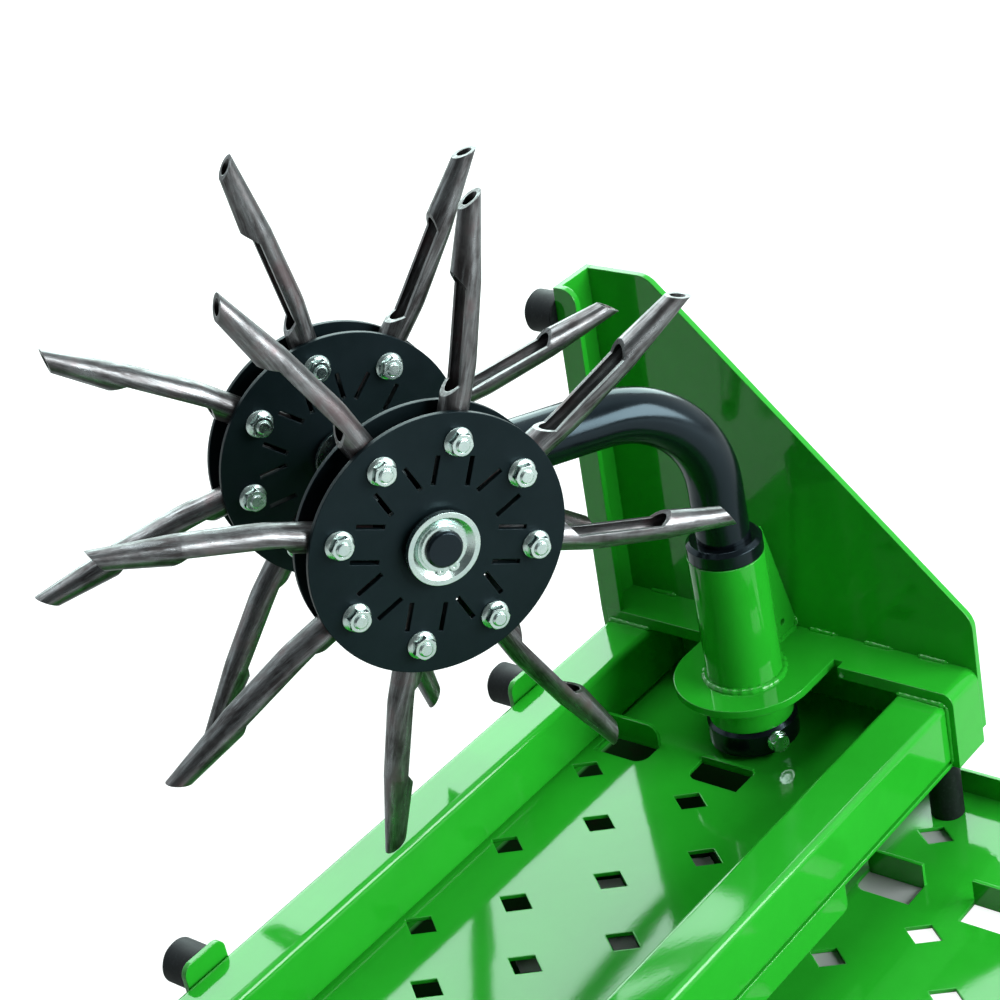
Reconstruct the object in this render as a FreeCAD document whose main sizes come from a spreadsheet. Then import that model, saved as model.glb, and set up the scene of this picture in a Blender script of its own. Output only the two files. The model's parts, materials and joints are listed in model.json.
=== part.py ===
"""End section of a tow-behind lawn aerator: a castering pair of coring wheels on its frame.

The section stands on its perforated tray with the tines up, as it does when turned over.
Millimetres, +Z up.  The origin lies on the caster's pivot axis, at the tray's underside.
+X runs along the beams towards the end plate, and -Y is the front.
"""
import FreeCAD, Part
import math
import os
import Sketcher

DRIVING_SIZES = [
    # the two long beams and the cross member between them
    ("beam_inner", 110.0),
    ("beam_width", 41.0),
    ("beam_height", 50.0),
    ("beam_wall", 3.0),
    ("beam_corner", 5.0),
    ("section_left", -560.0),
    ("plate_inner", 66.0),
    ("cross_width", 38.0),
    # the perforated tray, the deck above it and the gap that the rubber feet keep
    ("sheet", 3.0),
    ("foot_height", 53.0),
    ("foot_radius", 12.5),
    ("foot_inset", 25.0),
    ("foot_left_inset", 60.0),
    ("tray_front", -330.0),
    ("tray_back", 168.0),
    ("tray_rim", 23.0),
    ("tray_corner", 6.0),
    ("hole_pitch_along", 99.75),
    ("hole_pitch_across", 94.3),
    ("hole_first", -88.0),
    ("hole_half_along", 11.0),
    ("hole_half_across", 15.0),
    ("window_left", -65.0),
    ("window_width", 23.0),
    ("window_length", 46.0),
    ("window_corner", 10.0),
    ("window_tab_height", 18.0),
    ("low_tab_height", 3.5),
    ("deck_window_outer", 83.0),
    ("deck_window_inner", -2.0),
    ("tray_window_inner", -140.0),
    ("tray_window_outer", -226.0),
    ("skirt_drop", 20.0),
    ("skirt_right", -119.0),
    ("skirt_corner", 5.0),
    # the end plate with its back flange
    ("end_sheet", 5.0),
    ("end_top", 400.0),
    ("end_shoulder", 161.0),
    ("end_slope_top_y", 86.0),
    ("end_top_back", 138.0),
    ("end_corner", 18.0),
    ("end_foot_corner", 12.0),
    ("flange_lip", 14.0),
    ("lip_corner", 12.0),
    # the folded cap over the beams' ends, with the nose that carries the pivot
    ("cap_sheet", 6.0),
    ("cap_rise", 4.0),
    ("cap_depth", 36.0),
    ("cap_corner", 9.0),
    ("nose_radius", 53.5),
    ("relief_size", 8.0),
    # the pivot
    ("sleeve_outer", 28.5),
    ("sleeve_bore", 23.0),
    ("sleeve_top", 223.0),
    ("sleeve_bottom", 84.0),
    ("sleeve_foot", 32.0),
    ("bush_length", 22.0),
    ("gusset_sheet", 6.0),
    ("gusset_top", 221.0),
    ("gusset_top_width", 13.0),
    ("gusset_toe", 9.0),
    ("gusset_hole", 2.6),
    ("gusset_hole_near", 8.5),
    ("gusset_hole_far", 21.5),
    ("gusset_hole_low", 9.0),
    ("gusset_hole_high", 13.0),
    # the bent arm of the caster and what is fixed to it
    ("arm_radius", 20.0),
    ("arm_bend", 85.0),
    ("arm_rise", 4.0),
    ("arm_reach", 242.0),
    ("axle_height", 374.0),
    ("caster_rest", 154.6),
    ("thrust_gap", 0.3),
    ("running_gap", 0.05),
    ("ring_radius", 28.0),
    ("ring_height", 13.0),
    ("ring_edge", 3.0),
    ("collar_radius", 34.0),
    ("collar_height", 19.5),
    ("collar_bolt", 4.2),
    ("axle_radius", 12.7),
    ("axle_overhang", 5.0),
    ("axle_edge", 1.5),
    ("boss_radius", 24.0),
    ("boss_length", 90.0),
    ("washer_radius", 22.5),
    ("washer_height", 3.0),
    ("cup_radius", 25.0),
    ("cup_height", 4.5),
    ("cup_rim", 3.5),
    ("cup_floor", 1.5),
    ("cup_floor_radius", 17.0),
    ("snap_height", 1.8),
    ("snap_radius", 15.5),
    ("snap_opening", 6.0),
    # the coring wheels
    ("wheel_offset", 79.0),
    ("near_phase", 22.2),
    ("far_phase", 3.3),
    ("disc_radius", 89.0),
    ("disc_sheet", 3.5),
    ("disc_edge", 0.8),
    ("hub_radius", 19.0),
    ("hub_overhang", 3.0),
    ("tine_count", 8.0),
    ("bolt_circle", 69.5),
    ("bolt_hole", 5.2),
    ("slot_inner", 40.0),
    ("slot_length", 20.0),
    ("slot_width", 3.2),
    ("slot_clear", 0.4),
    ("lug_height", 3.0),
    ("lug_sheet", 2.0),
    ("tine_radius", 10.0),
    ("tine_wall", 2.6),
    ("tine_root", 44.0),
    ("tine_lean", -1.0),
    ("tine_kink", 116.0),
    ("tine_bend", 60.0),
    ("tine_turn", 6.3),
    ("tine_tip", 228.0),
    ("taper_start", 170.0),
    ("taper_angle", 3.6),
    ("mouth_setback", 18.0),
    ("channel_start", 81.0),
    ("channel_end", 178.0),
    ("channel_ramp", 23.0),
    ("channel_shoulder", 12.0),
    ("channel_lift", 2.6),
    # the rubber bumpers on the section's back
    ("bumper_radius", 16.0),
    ("bumper_length", 27.0),
    ("bumper_right", -74.0),
    ("bumper_left", -431.0),
    ("bumper_top", 375.0),
    ("bumper_top_inset", 7.0),
    ("bumper_edge", 3.0),
    ("bumper_drop", 2.0),
    ("tab_sheet", 4.0),
    ("tab_half", 19.0),
    ("tab_rise", 14.0),
    ("tab_foot", 30.0),
]

SHEET = "Sizes"
X_AXIS = FreeCAD.Vector(1, 0, 0)
Y_AXIS = FreeCAD.Vector(0, 1, 0)
Z_AXIS = FreeCAD.Vector(0, 0, 1)
ORIGIN_POINT = (-1, 1)


class Size(float):
    """A number that carries the spreadsheet expression it comes from."""

    def __new__(cls, value, text):
        made = float.__new__(cls, value)
        made.text = text
        return made

    def __add__(self, other):
        return Size(float(self) + float(other), f"({self.text} + {words(other)})")

    def __radd__(self, other):
        return Size(float(other) + float(self), f"({words(other)} + {self.text})")

    def __sub__(self, other):
        return Size(float(self) - float(other), f"({self.text} - {words(other)})")

    def __rsub__(self, other):
        return Size(float(other) - float(self), f"({words(other)} - {self.text})")

    def __mul__(self, other):
        return Size(float(self) * float(other), f"({self.text} * {words(other)})")

    def __rmul__(self, other):
        return Size(float(other) * float(self), f"({words(other)} * {self.text})")

    def __truediv__(self, other):
        return Size(float(self) / float(other), f"({self.text} / {words(other)})")

    def __neg__(self):
        return Size(-float(self), f"(0 - {self.text})")


def words(value):
    """The expression of a Size, or a plain number written out."""
    return value.text if isinstance(value, Size) else repr(float(value))


def sine(angle):
    return Size(math.sin(math.radians(angle)), f"sin({words(angle)})")


def cosine(angle):
    return Size(math.cos(math.radians(angle)), f"cos({words(angle)})")


def tangent(angle):
    return Size(math.tan(math.radians(angle)), f"tan({words(angle)})")


doc = FreeCAD.newDocument("Aerator")
sheet = doc.addObject("Spreadsheet::Sheet", SHEET)
for row, (alias, number) in enumerate(DRIVING_SIZES, start=1):
    sheet.set(f"A{row}", alias)
    sheet.set(f"B{row}", repr(number))
    sheet.setAlias(f"B{row}", alias)
doc.recompute()


class Sizes:
    """Each driving size by its name, read from the sheet."""

    def __getattr__(self, alias):
        return Size(sheet.get(alias), f"{SHEET}.{alias}")


d = Sizes()

# Heights and widths that several pieces share
tray_top = d.sheet
deck_under = tray_top + d.foot_height
deck_top = deck_under + d.sheet
beam_under = deck_top
beam_top = beam_under + d.beam_height
beam_outer = d.beam_inner + d.beam_width
cap_under = beam_top + d.cap_rise
cap_top = cap_under + d.cap_sheet
cap_left = d.plate_inner - d.cap_depth
cap_front = beam_outer + d.cap_sheet
sleeve_seat = cap_under

# The caster's arm: where its bend starts and ends
arm_straight_end = (d.axle_height - d.arm_bend * cosine(d.arm_rise)
                    - (d.arm_reach - d.arm_bend * (1.0 - sine(d.arm_rise))) * tangent(d.arm_rise))
bend_end_across = d.arm_bend * (1.0 - sine(d.arm_rise))
bend_end_height = arm_straight_end + d.arm_bend * cosine(d.arm_rise)
collar_top = d.sleeve_bottom - d.thrust_gap
collar_bottom = collar_top - d.collar_height
ring_bottom = d.sleeve_top + d.thrust_gap

# The wheels: how far their faces stand from the middle plane of the tines
disc_face = d.tine_radius + d.disc_sheet
hub_face = disc_face + d.hub_overhang
washer_start = hub_face + d.thrust_gap
snap_start = washer_start + d.cup_floor
axle_half = d.wheel_offset + snap_start + d.axle_overhang
inner_washer_end = d.wheel_offset - hub_face - d.thrust_gap
inner_washer_start = inner_washer_end - d.washer_height

node_objects = []


# ---------------------------------------------------------------- helpers

def bind(thing, prop, value):
    """Tie one property to the sheet; a plain number is set as it is."""
    if isinstance(value, Size):
        thing.setExpression(prop, value.text)
    else:
        setattr(thing, prop, value)


def keep(thing, label):
    """Name a finished sub-part and list it for writing."""
    thing.Label = label
    node_objects.append(thing)
    return thing


def new_body(label):
    return keep(doc.addObject("PartDesign::Body", label), label)


def origin_feature(body, role):
    return [f for f in body.Origin.OriginFeatures if f.Role == role][0]


def new_sketch(body, name, role, lift=0.0):
    """A sketch on one of the body's own origin planes, lifted along its normal."""
    sketch = body.newObject("Sketcher::SketchObject", name)
    sketch.AttachmentSupport = [(origin_feature(body, role), "")]
    sketch.MapMode = "FlatFace"
    if isinstance(lift, Size):
        sketch.setExpression("AttachmentOffset.Base.z", lift.text)
    elif lift:
        sketch.AttachmentOffset = FreeCAD.Placement(FreeCAD.Vector(0, 0, lift), FreeCAD.Rotation())
    return sketch


def new_turned_sketch(body, name, role, across, lift, angle):
    """A sketch on an origin plane, moved across and along its normal, then turned about its own Y."""
    sketch = new_sketch(body, name, role)
    sketch.AttachmentOffset = FreeCAD.Placement(FreeCAD.Vector(0, 0, 0), FreeCAD.Rotation(Y_AXIS, 1.0))
    for prop, value in (("Base.x", across), ("Base.z", lift), ("Rotation.Angle", angle)):
        sketch.setExpression(f"AttachmentOffset.{prop}", value.text)
    return sketch


def fix_distance(sketch, kind, element, point, value):
    """Hold a sketch point at a signed distance from the origin, tied to the sheet."""
    if abs(float(value)) < 1e-9:
        axis = -2 if kind == "DistanceX" else -1
        sketch.addConstraint(Sketcher.Constraint("PointOnObject", element, point, axis))
        return
    number = sketch.addConstraint(
        Sketcher.Constraint(kind, *ORIGIN_POINT, element, point, float(value)))
    if isinstance(value, Size):
        name = f"{kind}_{element}_{point}"
        sketch.renameConstraint(number, name)
        sketch.setExpression(f"Constraints.{name}", value.text)


def fix_point(sketch, element, point, place):
    fix_distance(sketch, "DistanceX", element, point, place[0])
    fix_distance(sketch, "DistanceY", element, point, place[1])


def fix_radius(sketch, element, value):
    number = sketch.addConstraint(Sketcher.Constraint("Radius", element, float(value)))
    if isinstance(value, Size):
        name = f"Radius_{element}"
        sketch.renameConstraint(number, name)
        sketch.setExpression(f"Constraints.{name}", value.text)


def flat(place):
    return FreeCAD.Vector(float(place[0]), float(place[1]), 0)


def draw_outline(sketch, corners):
    """A closed outline of straight edges through the given corners."""
    first = sketch.GeometryCount
    count = len(corners)
    for index in range(count):
        start, end = corners[index], corners[(index + 1) % count]
        sketch.addGeometry(Part.LineSegment(flat(start), flat(end)))
    for index in range(count):
        following = first + (index + 1) % count
        sketch.addConstraint(Sketcher.Constraint("Coincident", first + index, 2, following, 1))
        fix_point(sketch, first + index, 1, corners[index])


def draw_rectangle(sketch, low, high):
    draw_outline(sketch, [low, (high[0], low[1]), high, (low[0], high[1])])


def draw_circle(sketch, centre, radius):
    element = sketch.addGeometry(Part.Circle(flat(centre), Z_AXIS, float(radius)))
    fix_point(sketch, element, 3, centre)
    fix_radius(sketch, element, radius)


def add_pad(body, name, sketch, length, midplane=False, reversed_way=False):
    pad = body.newObject("PartDesign::Pad", name)
    pad.Profile = sketch
    bind(pad, "Length", length)
    if midplane:
        pad.SideType = "Symmetric"
    pad.Reversed = reversed_way
    doc.recompute()
    return pad


def add_pocket(body, name, sketch, through=True, length=0.0, reversed_way=False):
    """A pocket that has to take material away, or the build stops."""
    before = body.Shape.Volume
    pocket = body.newObject("PartDesign::Pocket", name)
    pocket.Profile = sketch
    if through:
        pocket.Type = "ThroughAll"
        pocket.SideType = "Symmetric"
    else:
        bind(pocket, "Length", length)
        pocket.Reversed = reversed_way
    doc.recompute()
    if body.Shape.Volume >= before - 1e-6:
        raise RuntimeError(f"{body.Label}: {name} cuts nothing")
    return pocket


def add_revolution(body, name, sketch, role):
    turn = body.newObject("PartDesign::Revolution", name)
    turn.Profile = sketch
    turn.ReferenceAxis = (origin_feature(body, role), [""])
    turn.Angle = 360
    doc.recompute()
    return turn


def add_bend(body, name, sketch, centre_x, angle, reversed_way):
    """Sweep a section round a bend whose centre lies centre_x along the sketch's own X."""
    foot, top = (centre_x, 0.0), (centre_x, 10.0)
    axis = sketch.addGeometry(Part.LineSegment(flat(foot), flat(top)), True)
    fix_point(sketch, axis, 1, foot)
    fix_point(sketch, axis, 2, top)
    bend = body.newObject("PartDesign::Revolution", name)
    bend.Profile = sketch
    bend.ReferenceAxis = (sketch, ["Axis0"])
    bind(bend, "Angle", angle)
    bend.Reversed = reversed_way
    doc.recompute()
    return bend


def repeat_round(body, name, features, count, role="Z_Axis"):
    pattern = body.newObject("PartDesign::PolarPattern", name)
    pattern.Originals = features
    pattern.Axis = (origin_feature(body, role), [""])
    pattern.Angle = 360
    bind(pattern, "Occurrences", count)
    body.Tip = pattern
    doc.recompute()
    return pattern


def round_edges(body, name, radius, is_wanted, kind="PartDesign::Fillet"):
    """Round (or chamfer) the edges of the body's last feature that is_wanted picks."""
    base = body.Tip
    picked = [f"Edge{i}" for i, edge in enumerate(base.Shape.Edges, start=1) if is_wanted(edge)]
    if not picked:
        raise RuntimeError(f"{body.Label}: {name} finds no edge")
    feature = body.newObject(kind, name)
    feature.Base = (base, picked)
    bind(feature, "Radius" if kind.endswith("Fillet") else "Size", radius)
    doc.recompute()
    return feature


def near(value, target, slack=0.01):
    return abs(float(value) - float(target)) < slack


def runs_along(edge, axis):
    """Whether a straight edge is parallel to X, Y or Z (0, 1 or 2)."""
    if len(edge.Vertexes) != 2 or not isinstance(edge.Curve, (Part.Line, Part.LineSegment)):
        return False
    step = edge.Vertexes[1].Point - edge.Vertexes[0].Point
    return abs(abs(step[axis]) - step.Length) < 1e-6


def middle(edge):
    return edge.Vertexes[0].Point.add(edge.Vertexes[-1].Point).multiply(0.5)


def place(thing, x=0.0, y=0.0, z=0.0, angle=0.0):
    """Place a sub-part, turned about the vertical, with its values tied to the sheet."""
    for prop, value in (("Base.x", x), ("Base.y", y), ("Base.z", z)):
        if isinstance(value, Size):
            thing.setExpression(f"Placement.{prop}", value.text)
    plain = [float(v) if not isinstance(v, Size) else 0.0 for v in (x, y, z)]
    thing.Placement = FreeCAD.Placement(FreeCAD.Vector(*plain), FreeCAD.Rotation(Z_AXIS, float(angle)))
    if isinstance(angle, Size):
        thing.setExpression("Placement.Rotation.Angle", angle.text)


# ---------------------------------------------------------------- the frame

def make_beam(label, low_y):
    """A rectangular tube along X with rounded corners, open at its left end."""
    body = new_body(label)
    profile = new_sketch(body, label + "_profile", "YZ_Plane", d.section_left)
    draw_rectangle(profile, (low_y, beam_under), (low_y + d.beam_width, beam_top))
    add_pad(body, label + "_tube", profile, d.plate_inner - d.section_left)
    round_edges(body, label + "_corners", d.beam_corner, lambda e: runs_along(e, 0))
    hollow = new_sketch(body, label + "_hollow", "YZ_Plane", d.section_left)
    draw_rectangle(hollow, (low_y + d.beam_wall, beam_under + d.beam_wall),
                   (low_y + d.beam_width - d.beam_wall, beam_top - d.beam_wall))
    add_pocket(body, label + "_bore", hollow)


def make_cross_member():
    """A shorter tube along Y that ties the two beams at their left end."""
    body = new_body("cross_member")
    profile = new_sketch(body, "cross_profile", "XZ_Plane")
    right = d.section_left + d.cross_width
    draw_rectangle(profile, (d.section_left, beam_under), (right, beam_top))
    add_pad(body, "cross_tube", profile, d.beam_inner * 2.0, midplane=True)
    round_edges(body, "cross_corners", d.beam_corner, lambda e: runs_along(e, 1))
    hollow = new_sketch(body, "cross_hollow", "XZ_Plane")
    draw_rectangle(hollow, (d.section_left + d.beam_wall, beam_under + d.beam_wall),
                   (right - d.beam_wall, beam_top - d.beam_wall))
    add_pocket(body, "cross_bore", hollow)


def cut_diamonds(body, prefix, first_x, low_y, columns, rows):
    """Diamond holes on a lattice; rows and columns count from the given corner."""
    shape = new_sketch(body, prefix + "_diamond", "XY_Plane")
    draw_outline(shape, [(first_x - d.hole_half_along, low_y), (first_x, low_y - d.hole_half_across),
                         (first_x + d.hole_half_along, low_y), (first_x, low_y + d.hole_half_across)])
    hole = add_pocket(body, prefix + "_hole", shape)
    pattern = body.newObject("PartDesign::LinearPattern", prefix + "_rows")
    pattern.Originals = [hole]
    pattern.Direction = (origin_feature(body, "X_Axis"), [""])
    pattern.Reversed = True
    pattern.Mode = "Spacing"
    bind(pattern, "Offset", d.hole_pitch_along)
    pattern.Occurrences = columns
    pattern.Direction2 = (origin_feature(body, "Y_Axis"), [""])
    pattern.Mode2 = "Spacing"
    bind(pattern, "Offset2", d.hole_pitch_across)
    pattern.Occurrences2 = rows
    body.Tip = pattern
    doc.recompute()


def cut_window(body, prefix, middle_y, floor, corner_side, tab_height):
    """A rectangular window with one rounded corner, and the tab bent up from it."""
    low_y = middle_y - d.window_length / 2.0
    high_y = middle_y + d.window_length / 2.0
    right = d.window_left + d.window_width
    opening = new_sketch(body, prefix + "_window", "XY_Plane")
    draw_rectangle(opening, (d.window_left, low_y), (right, high_y))
    add_pocket(body, prefix + "_opening", opening)
    round_y = low_y if corner_side < 0 else high_y
    round_edges(body, prefix + "_window_corner", d.window_corner,
                lambda e: runs_along(e, 2) and near(middle(e).x, d.window_left) and near(middle(e).y, round_y))
    tab = new_sketch(body, prefix + "_tab", "YZ_Plane", right)
    top = floor + tab_height
    draw_rectangle(tab, (low_y, floor - d.sheet), (high_y, top))
    add_pad(body, prefix + "_tab_sheet", tab, d.sheet)
    round_edges(body, prefix + "_tab_corner", tab_height / 2.0,
                lambda e: runs_along(e, 0) and near(middle(e).z, top) and near(middle(e).y, round_y))


def make_deck():
    """The perforated sheet welded under the beams, its front edge folded down."""
    body = new_body("deck_sheet")
    outline = new_sketch(body, "deck_outline", "XY_Plane", deck_under)
    draw_rectangle(outline, (d.section_left, -beam_outer), (d.plate_inner, beam_outer))
    add_pad(body, "deck_plate", outline, d.sheet)
    skirt = new_sketch(body, "deck_skirt", "XZ_Plane", beam_outer)
    draw_rectangle(skirt, (d.section_left, deck_under - d.skirt_drop), (d.skirt_right, deck_top))
    add_pad(body, "deck_skirt_sheet", skirt, d.sheet, reversed_way=True)
    round_edges(body, "deck_skirt_corner", d.skirt_corner,
                lambda e: runs_along(e, 1) and near(middle(e).x, d.skirt_right)
                and near(middle(e).z, deck_under - d.skirt_drop))
    cut_window(body, "deck_outer", d.deck_window_outer, deck_top, -1, d.window_tab_height)
    cut_window(body, "deck_inner", d.deck_window_inner, deck_top, 1, d.low_tab_height)
    cut_diamonds(body, "deck_a", d.hole_first, -d.hole_pitch_across, 5, 3)
    cut_diamonds(body, "deck_b", d.hole_first - d.hole_pitch_along / 2.0, -d.hole_pitch_across / 2.0, 4, 2)


def make_tray():
    """The perforated tray: a pan with a rim folded up on all four sides."""
    body = new_body("tray")
    right = d.plate_inner + d.sheet
    outline = new_sketch(body, "tray_outline", "XY_Plane")
    draw_rectangle(outline, (d.section_left, d.tray_front), (right, d.tray_back))
    add_pad(body, "tray_block", outline, d.tray_rim)
    round_edges(body, "tray_corners", d.tray_corner, lambda e: runs_along(e, 2))
    inside = new_sketch(body, "tray_inside", "XY_Plane", tray_top)
    draw_rectangle(inside, (d.section_left + d.sheet, d.tray_front + d.sheet),
                   (d.plate_inner, d.tray_back - d.sheet))
    add_pocket(body, "tray_hollow", inside, through=False, length=d.tray_rim, reversed_way=True)
    cut_window(body, "tray_inner", d.tray_window_inner, tray_top, 1, d.window_tab_height)
    cut_window(body, "tray_outer", d.tray_window_outer, tray_top, -1, d.window_tab_height)
    low = -3.0 * d.hole_pitch_across
    cut_diamonds(body, "tray_a", d.hole_first, low, 5, 5)
    cut_diamonds(body, "tray_b", d.hole_first - d.hole_pitch_along / 2.0,
                 low - d.hole_pitch_across / 2.0 + d.hole_pitch_across, 4, 5)
    cut_diamonds(body, "tray_c", d.hole_first + d.hole_pitch_along, low + d.hole_pitch_across * 1.5, 1, 3)


def make_feet():
    """The rubber feet that hold the deck above the tray."""
    right = d.plate_inner - d.foot_inset
    left = d.section_left + d.foot_left_inset
    across = d.beam_inner + d.foot_inset
    body = new_body("rubber_feet")
    for index, (x, y) in enumerate([(right, -across), (right, across), (left, -across), (left, across)]):
        round_foot = new_sketch(body, f"foot_{index}", "XY_Plane", tray_top)
        draw_circle(round_foot, (x, y), d.foot_radius)
        add_pad(body, f"foot_block_{index}", round_foot, d.foot_height)


def back_edge(height):
    """Where the end plate's back edge stands at a height above the cap."""
    return beam_outer - (beam_outer - d.end_top_back) * ((height - cap_top) / (d.end_top - cap_top))


def make_end_plate():
    """The tall end plate: its front slopes, and its back leans forward above the cap."""
    body = new_body("end_plate")
    front = -cap_front
    outline = new_sketch(body, "end_outline", "YZ_Plane", d.plate_inner)
    draw_outline(outline, [
        (front, deck_under), (beam_outer, deck_under), (beam_outer, cap_top), (d.end_top_back, d.end_top),
        (d.end_slope_top_y, d.end_top), (front, d.end_shoulder)])
    add_pad(body, "end_sheet_plate", outline, d.end_sheet)
    round_edges(body, "end_corners", d.end_corner,
                lambda e: runs_along(e, 0) and (near(middle(e).z, d.end_shoulder)
                                                or (near(middle(e).z, d.end_top)
                                                    and near(middle(e).y, d.end_slope_top_y))))
    round_edges(body, "end_foot_chamfer", d.end_foot_corner,
                lambda e: runs_along(e, 0) and near(middle(e).z, deck_under) and near(middle(e).y, front),
                kind="PartDesign::Chamfer")


def make_back_flange():
    """The end plate's back flange, as wide as the cap, with a lip folded forward from its free edge."""
    body = new_body("back_flange")
    side = new_sketch(body, "flange_side", "YZ_Plane", cap_left)
    draw_outline(side, [
        (beam_outer, deck_under), (beam_outer + d.end_sheet, deck_under),
        (beam_outer + d.end_sheet, cap_top), (d.end_top_back + d.end_sheet, d.end_top),
        (d.end_top_back, d.end_top), (beam_outer, cap_top)])
    add_pad(body, "flange_sheet", side, d.cap_depth + d.end_sheet)
    lip = new_sketch(body, "flange_lip_side", "YZ_Plane", cap_left)
    draw_outline(lip, [
        (beam_outer - d.flange_lip, cap_top), (beam_outer, cap_top), (d.end_top_back, d.end_top),
        (d.end_top_back - d.flange_lip, d.end_top)])
    add_pad(body, "flange_lip_sheet", lip, d.end_sheet)
    round_edges(body, "flange_lip_corner", d.lip_corner,
                lambda e: runs_along(e, 0) and near(middle(e).y, d.end_top_back - d.flange_lip)
                and near(middle(e).z, d.end_top))


def make_end_cap():
    """The cap folded over the beams' ends: top strip, nose, lips and front flange in one sheet."""
    body = new_body("end_cap")
    strip = new_sketch(body, "cap_strip", "XY_Plane", cap_under)
    draw_rectangle(strip, (cap_left, -cap_front), (d.plate_inner, beam_outer))
    add_pad(body, "cap_strip_sheet", strip, d.cap_sheet)
    nose = new_sketch(body, "cap_nose", "XY_Plane", cap_under)
    draw_rectangle(nose, (Size(0.0, "0"), -d.nose_radius), (cap_left + d.cap_sheet, d.nose_radius))
    add_pad(body, "cap_nose_sheet", nose, d.cap_sheet)
    tip = new_sketch(body, "cap_nose_tip", "XY_Plane", cap_under)
    draw_circle(tip, (0.0, 0.0), d.nose_radius)
    add_pad(body, "cap_tip_sheet", tip, d.cap_sheet)
    flange = new_sketch(body, "cap_flange", "XZ_Plane", beam_outer)
    draw_rectangle(flange, (cap_left, deck_under), (d.plate_inner, cap_top))
    add_pad(body, "cap_flange_sheet", flange, d.cap_sheet)
    round_edges(body, "cap_fold", d.cap_corner,
                lambda e: runs_along(e, 0) and near(middle(e).z, cap_top) and near(middle(e).y, -cap_front))
    gap = d.nose_radius + d.relief_size
    for side, low, high in (("front", -beam_outer, -gap), ("back", gap, beam_outer)):
        lip = new_sketch(body, f"cap_lip_{side}", "XY_Plane", beam_top)
        draw_rectangle(lip, (cap_left, low), (cap_left + d.cap_sheet, high))
        add_pad(body, f"cap_lip_sheet_{side}", lip, d.cap_rise)
    for side, low, high in (("front", -gap, -d.nose_radius), ("back", d.nose_radius, gap)):
        notch = new_sketch(body, f"cap_relief_{side}", "XY_Plane")
        draw_rectangle(notch, (cap_left - 1.0, low), (cap_left + d.relief_size, high))
        add_pocket(body, f"cap_relief_cut_{side}", notch)
    hole = new_sketch(body, "cap_sleeve_hole", "XY_Plane")
    draw_circle(hole, (0.0, 0.0), d.sleeve_outer)
    add_pocket(body, "cap_sleeve_bore", hole)


def make_sleeve():
    """The pivot sleeve: a turned tube with a wider foot under the cap."""
    body = new_body("pivot_sleeve")
    profile = new_sketch(body, "sleeve_profile", "XZ_Plane")
    draw_outline(profile, [
        (d.sleeve_bore, d.sleeve_bottom), (d.sleeve_foot, d.sleeve_bottom),
        (d.sleeve_foot, sleeve_seat), (d.sleeve_outer, sleeve_seat),
        (d.sleeve_outer, d.sleeve_top), (d.sleeve_bore, d.sleeve_top)])
    add_revolution(body, "sleeve_turned", profile, "Z_Axis")


def make_bush(label, bottom):
    """A plain bush pressed into the sleeve, with a running fit on the arm."""
    body = new_body(label)
    profile = new_sketch(body, label + "_ring", "XY_Plane", bottom)
    draw_circle(profile, (0.0, 0.0), d.sleeve_bore)
    draw_circle(profile, (0.0, 0.0), d.arm_radius + d.running_gap)
    add_pad(body, label + "_block", profile, d.bush_length)


def make_gusset():
    """The rib between the sleeve and the end plate, with two small holes."""
    body = new_body("pivot_gusset")
    side = new_sketch(body, "gusset_side", "XZ_Plane")
    start = d.sleeve_bore + (d.sleeve_outer - d.sleeve_bore) / 2.0
    draw_outline(side, [
        (start, cap_top), (d.plate_inner, cap_top), (d.plate_inner, cap_top + d.gusset_toe),
        (d.sleeve_outer + d.gusset_top_width, d.gusset_top), (start, d.gusset_top)])
    add_pad(body, "gusset_plate", side, d.gusset_sheet, midplane=True)
    for index, (away, up) in enumerate(((d.gusset_hole_near, d.gusset_hole_low),
                                        (d.gusset_hole_far, d.gusset_hole_high))):
        hole = new_sketch(body, f"gusset_hole_{index}", "XZ_Plane")
        draw_circle(hole, (d.sleeve_outer + away, cap_top + up), d.gusset_hole)
        add_pocket(body, f"gusset_drill_{index}", hole)
    seat = new_sketch(body, "gusset_seat", "XY_Plane")
    draw_circle(seat, (0.0, 0.0), d.sleeve_outer)
    add_pocket(body, "gusset_cope", seat)


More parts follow.
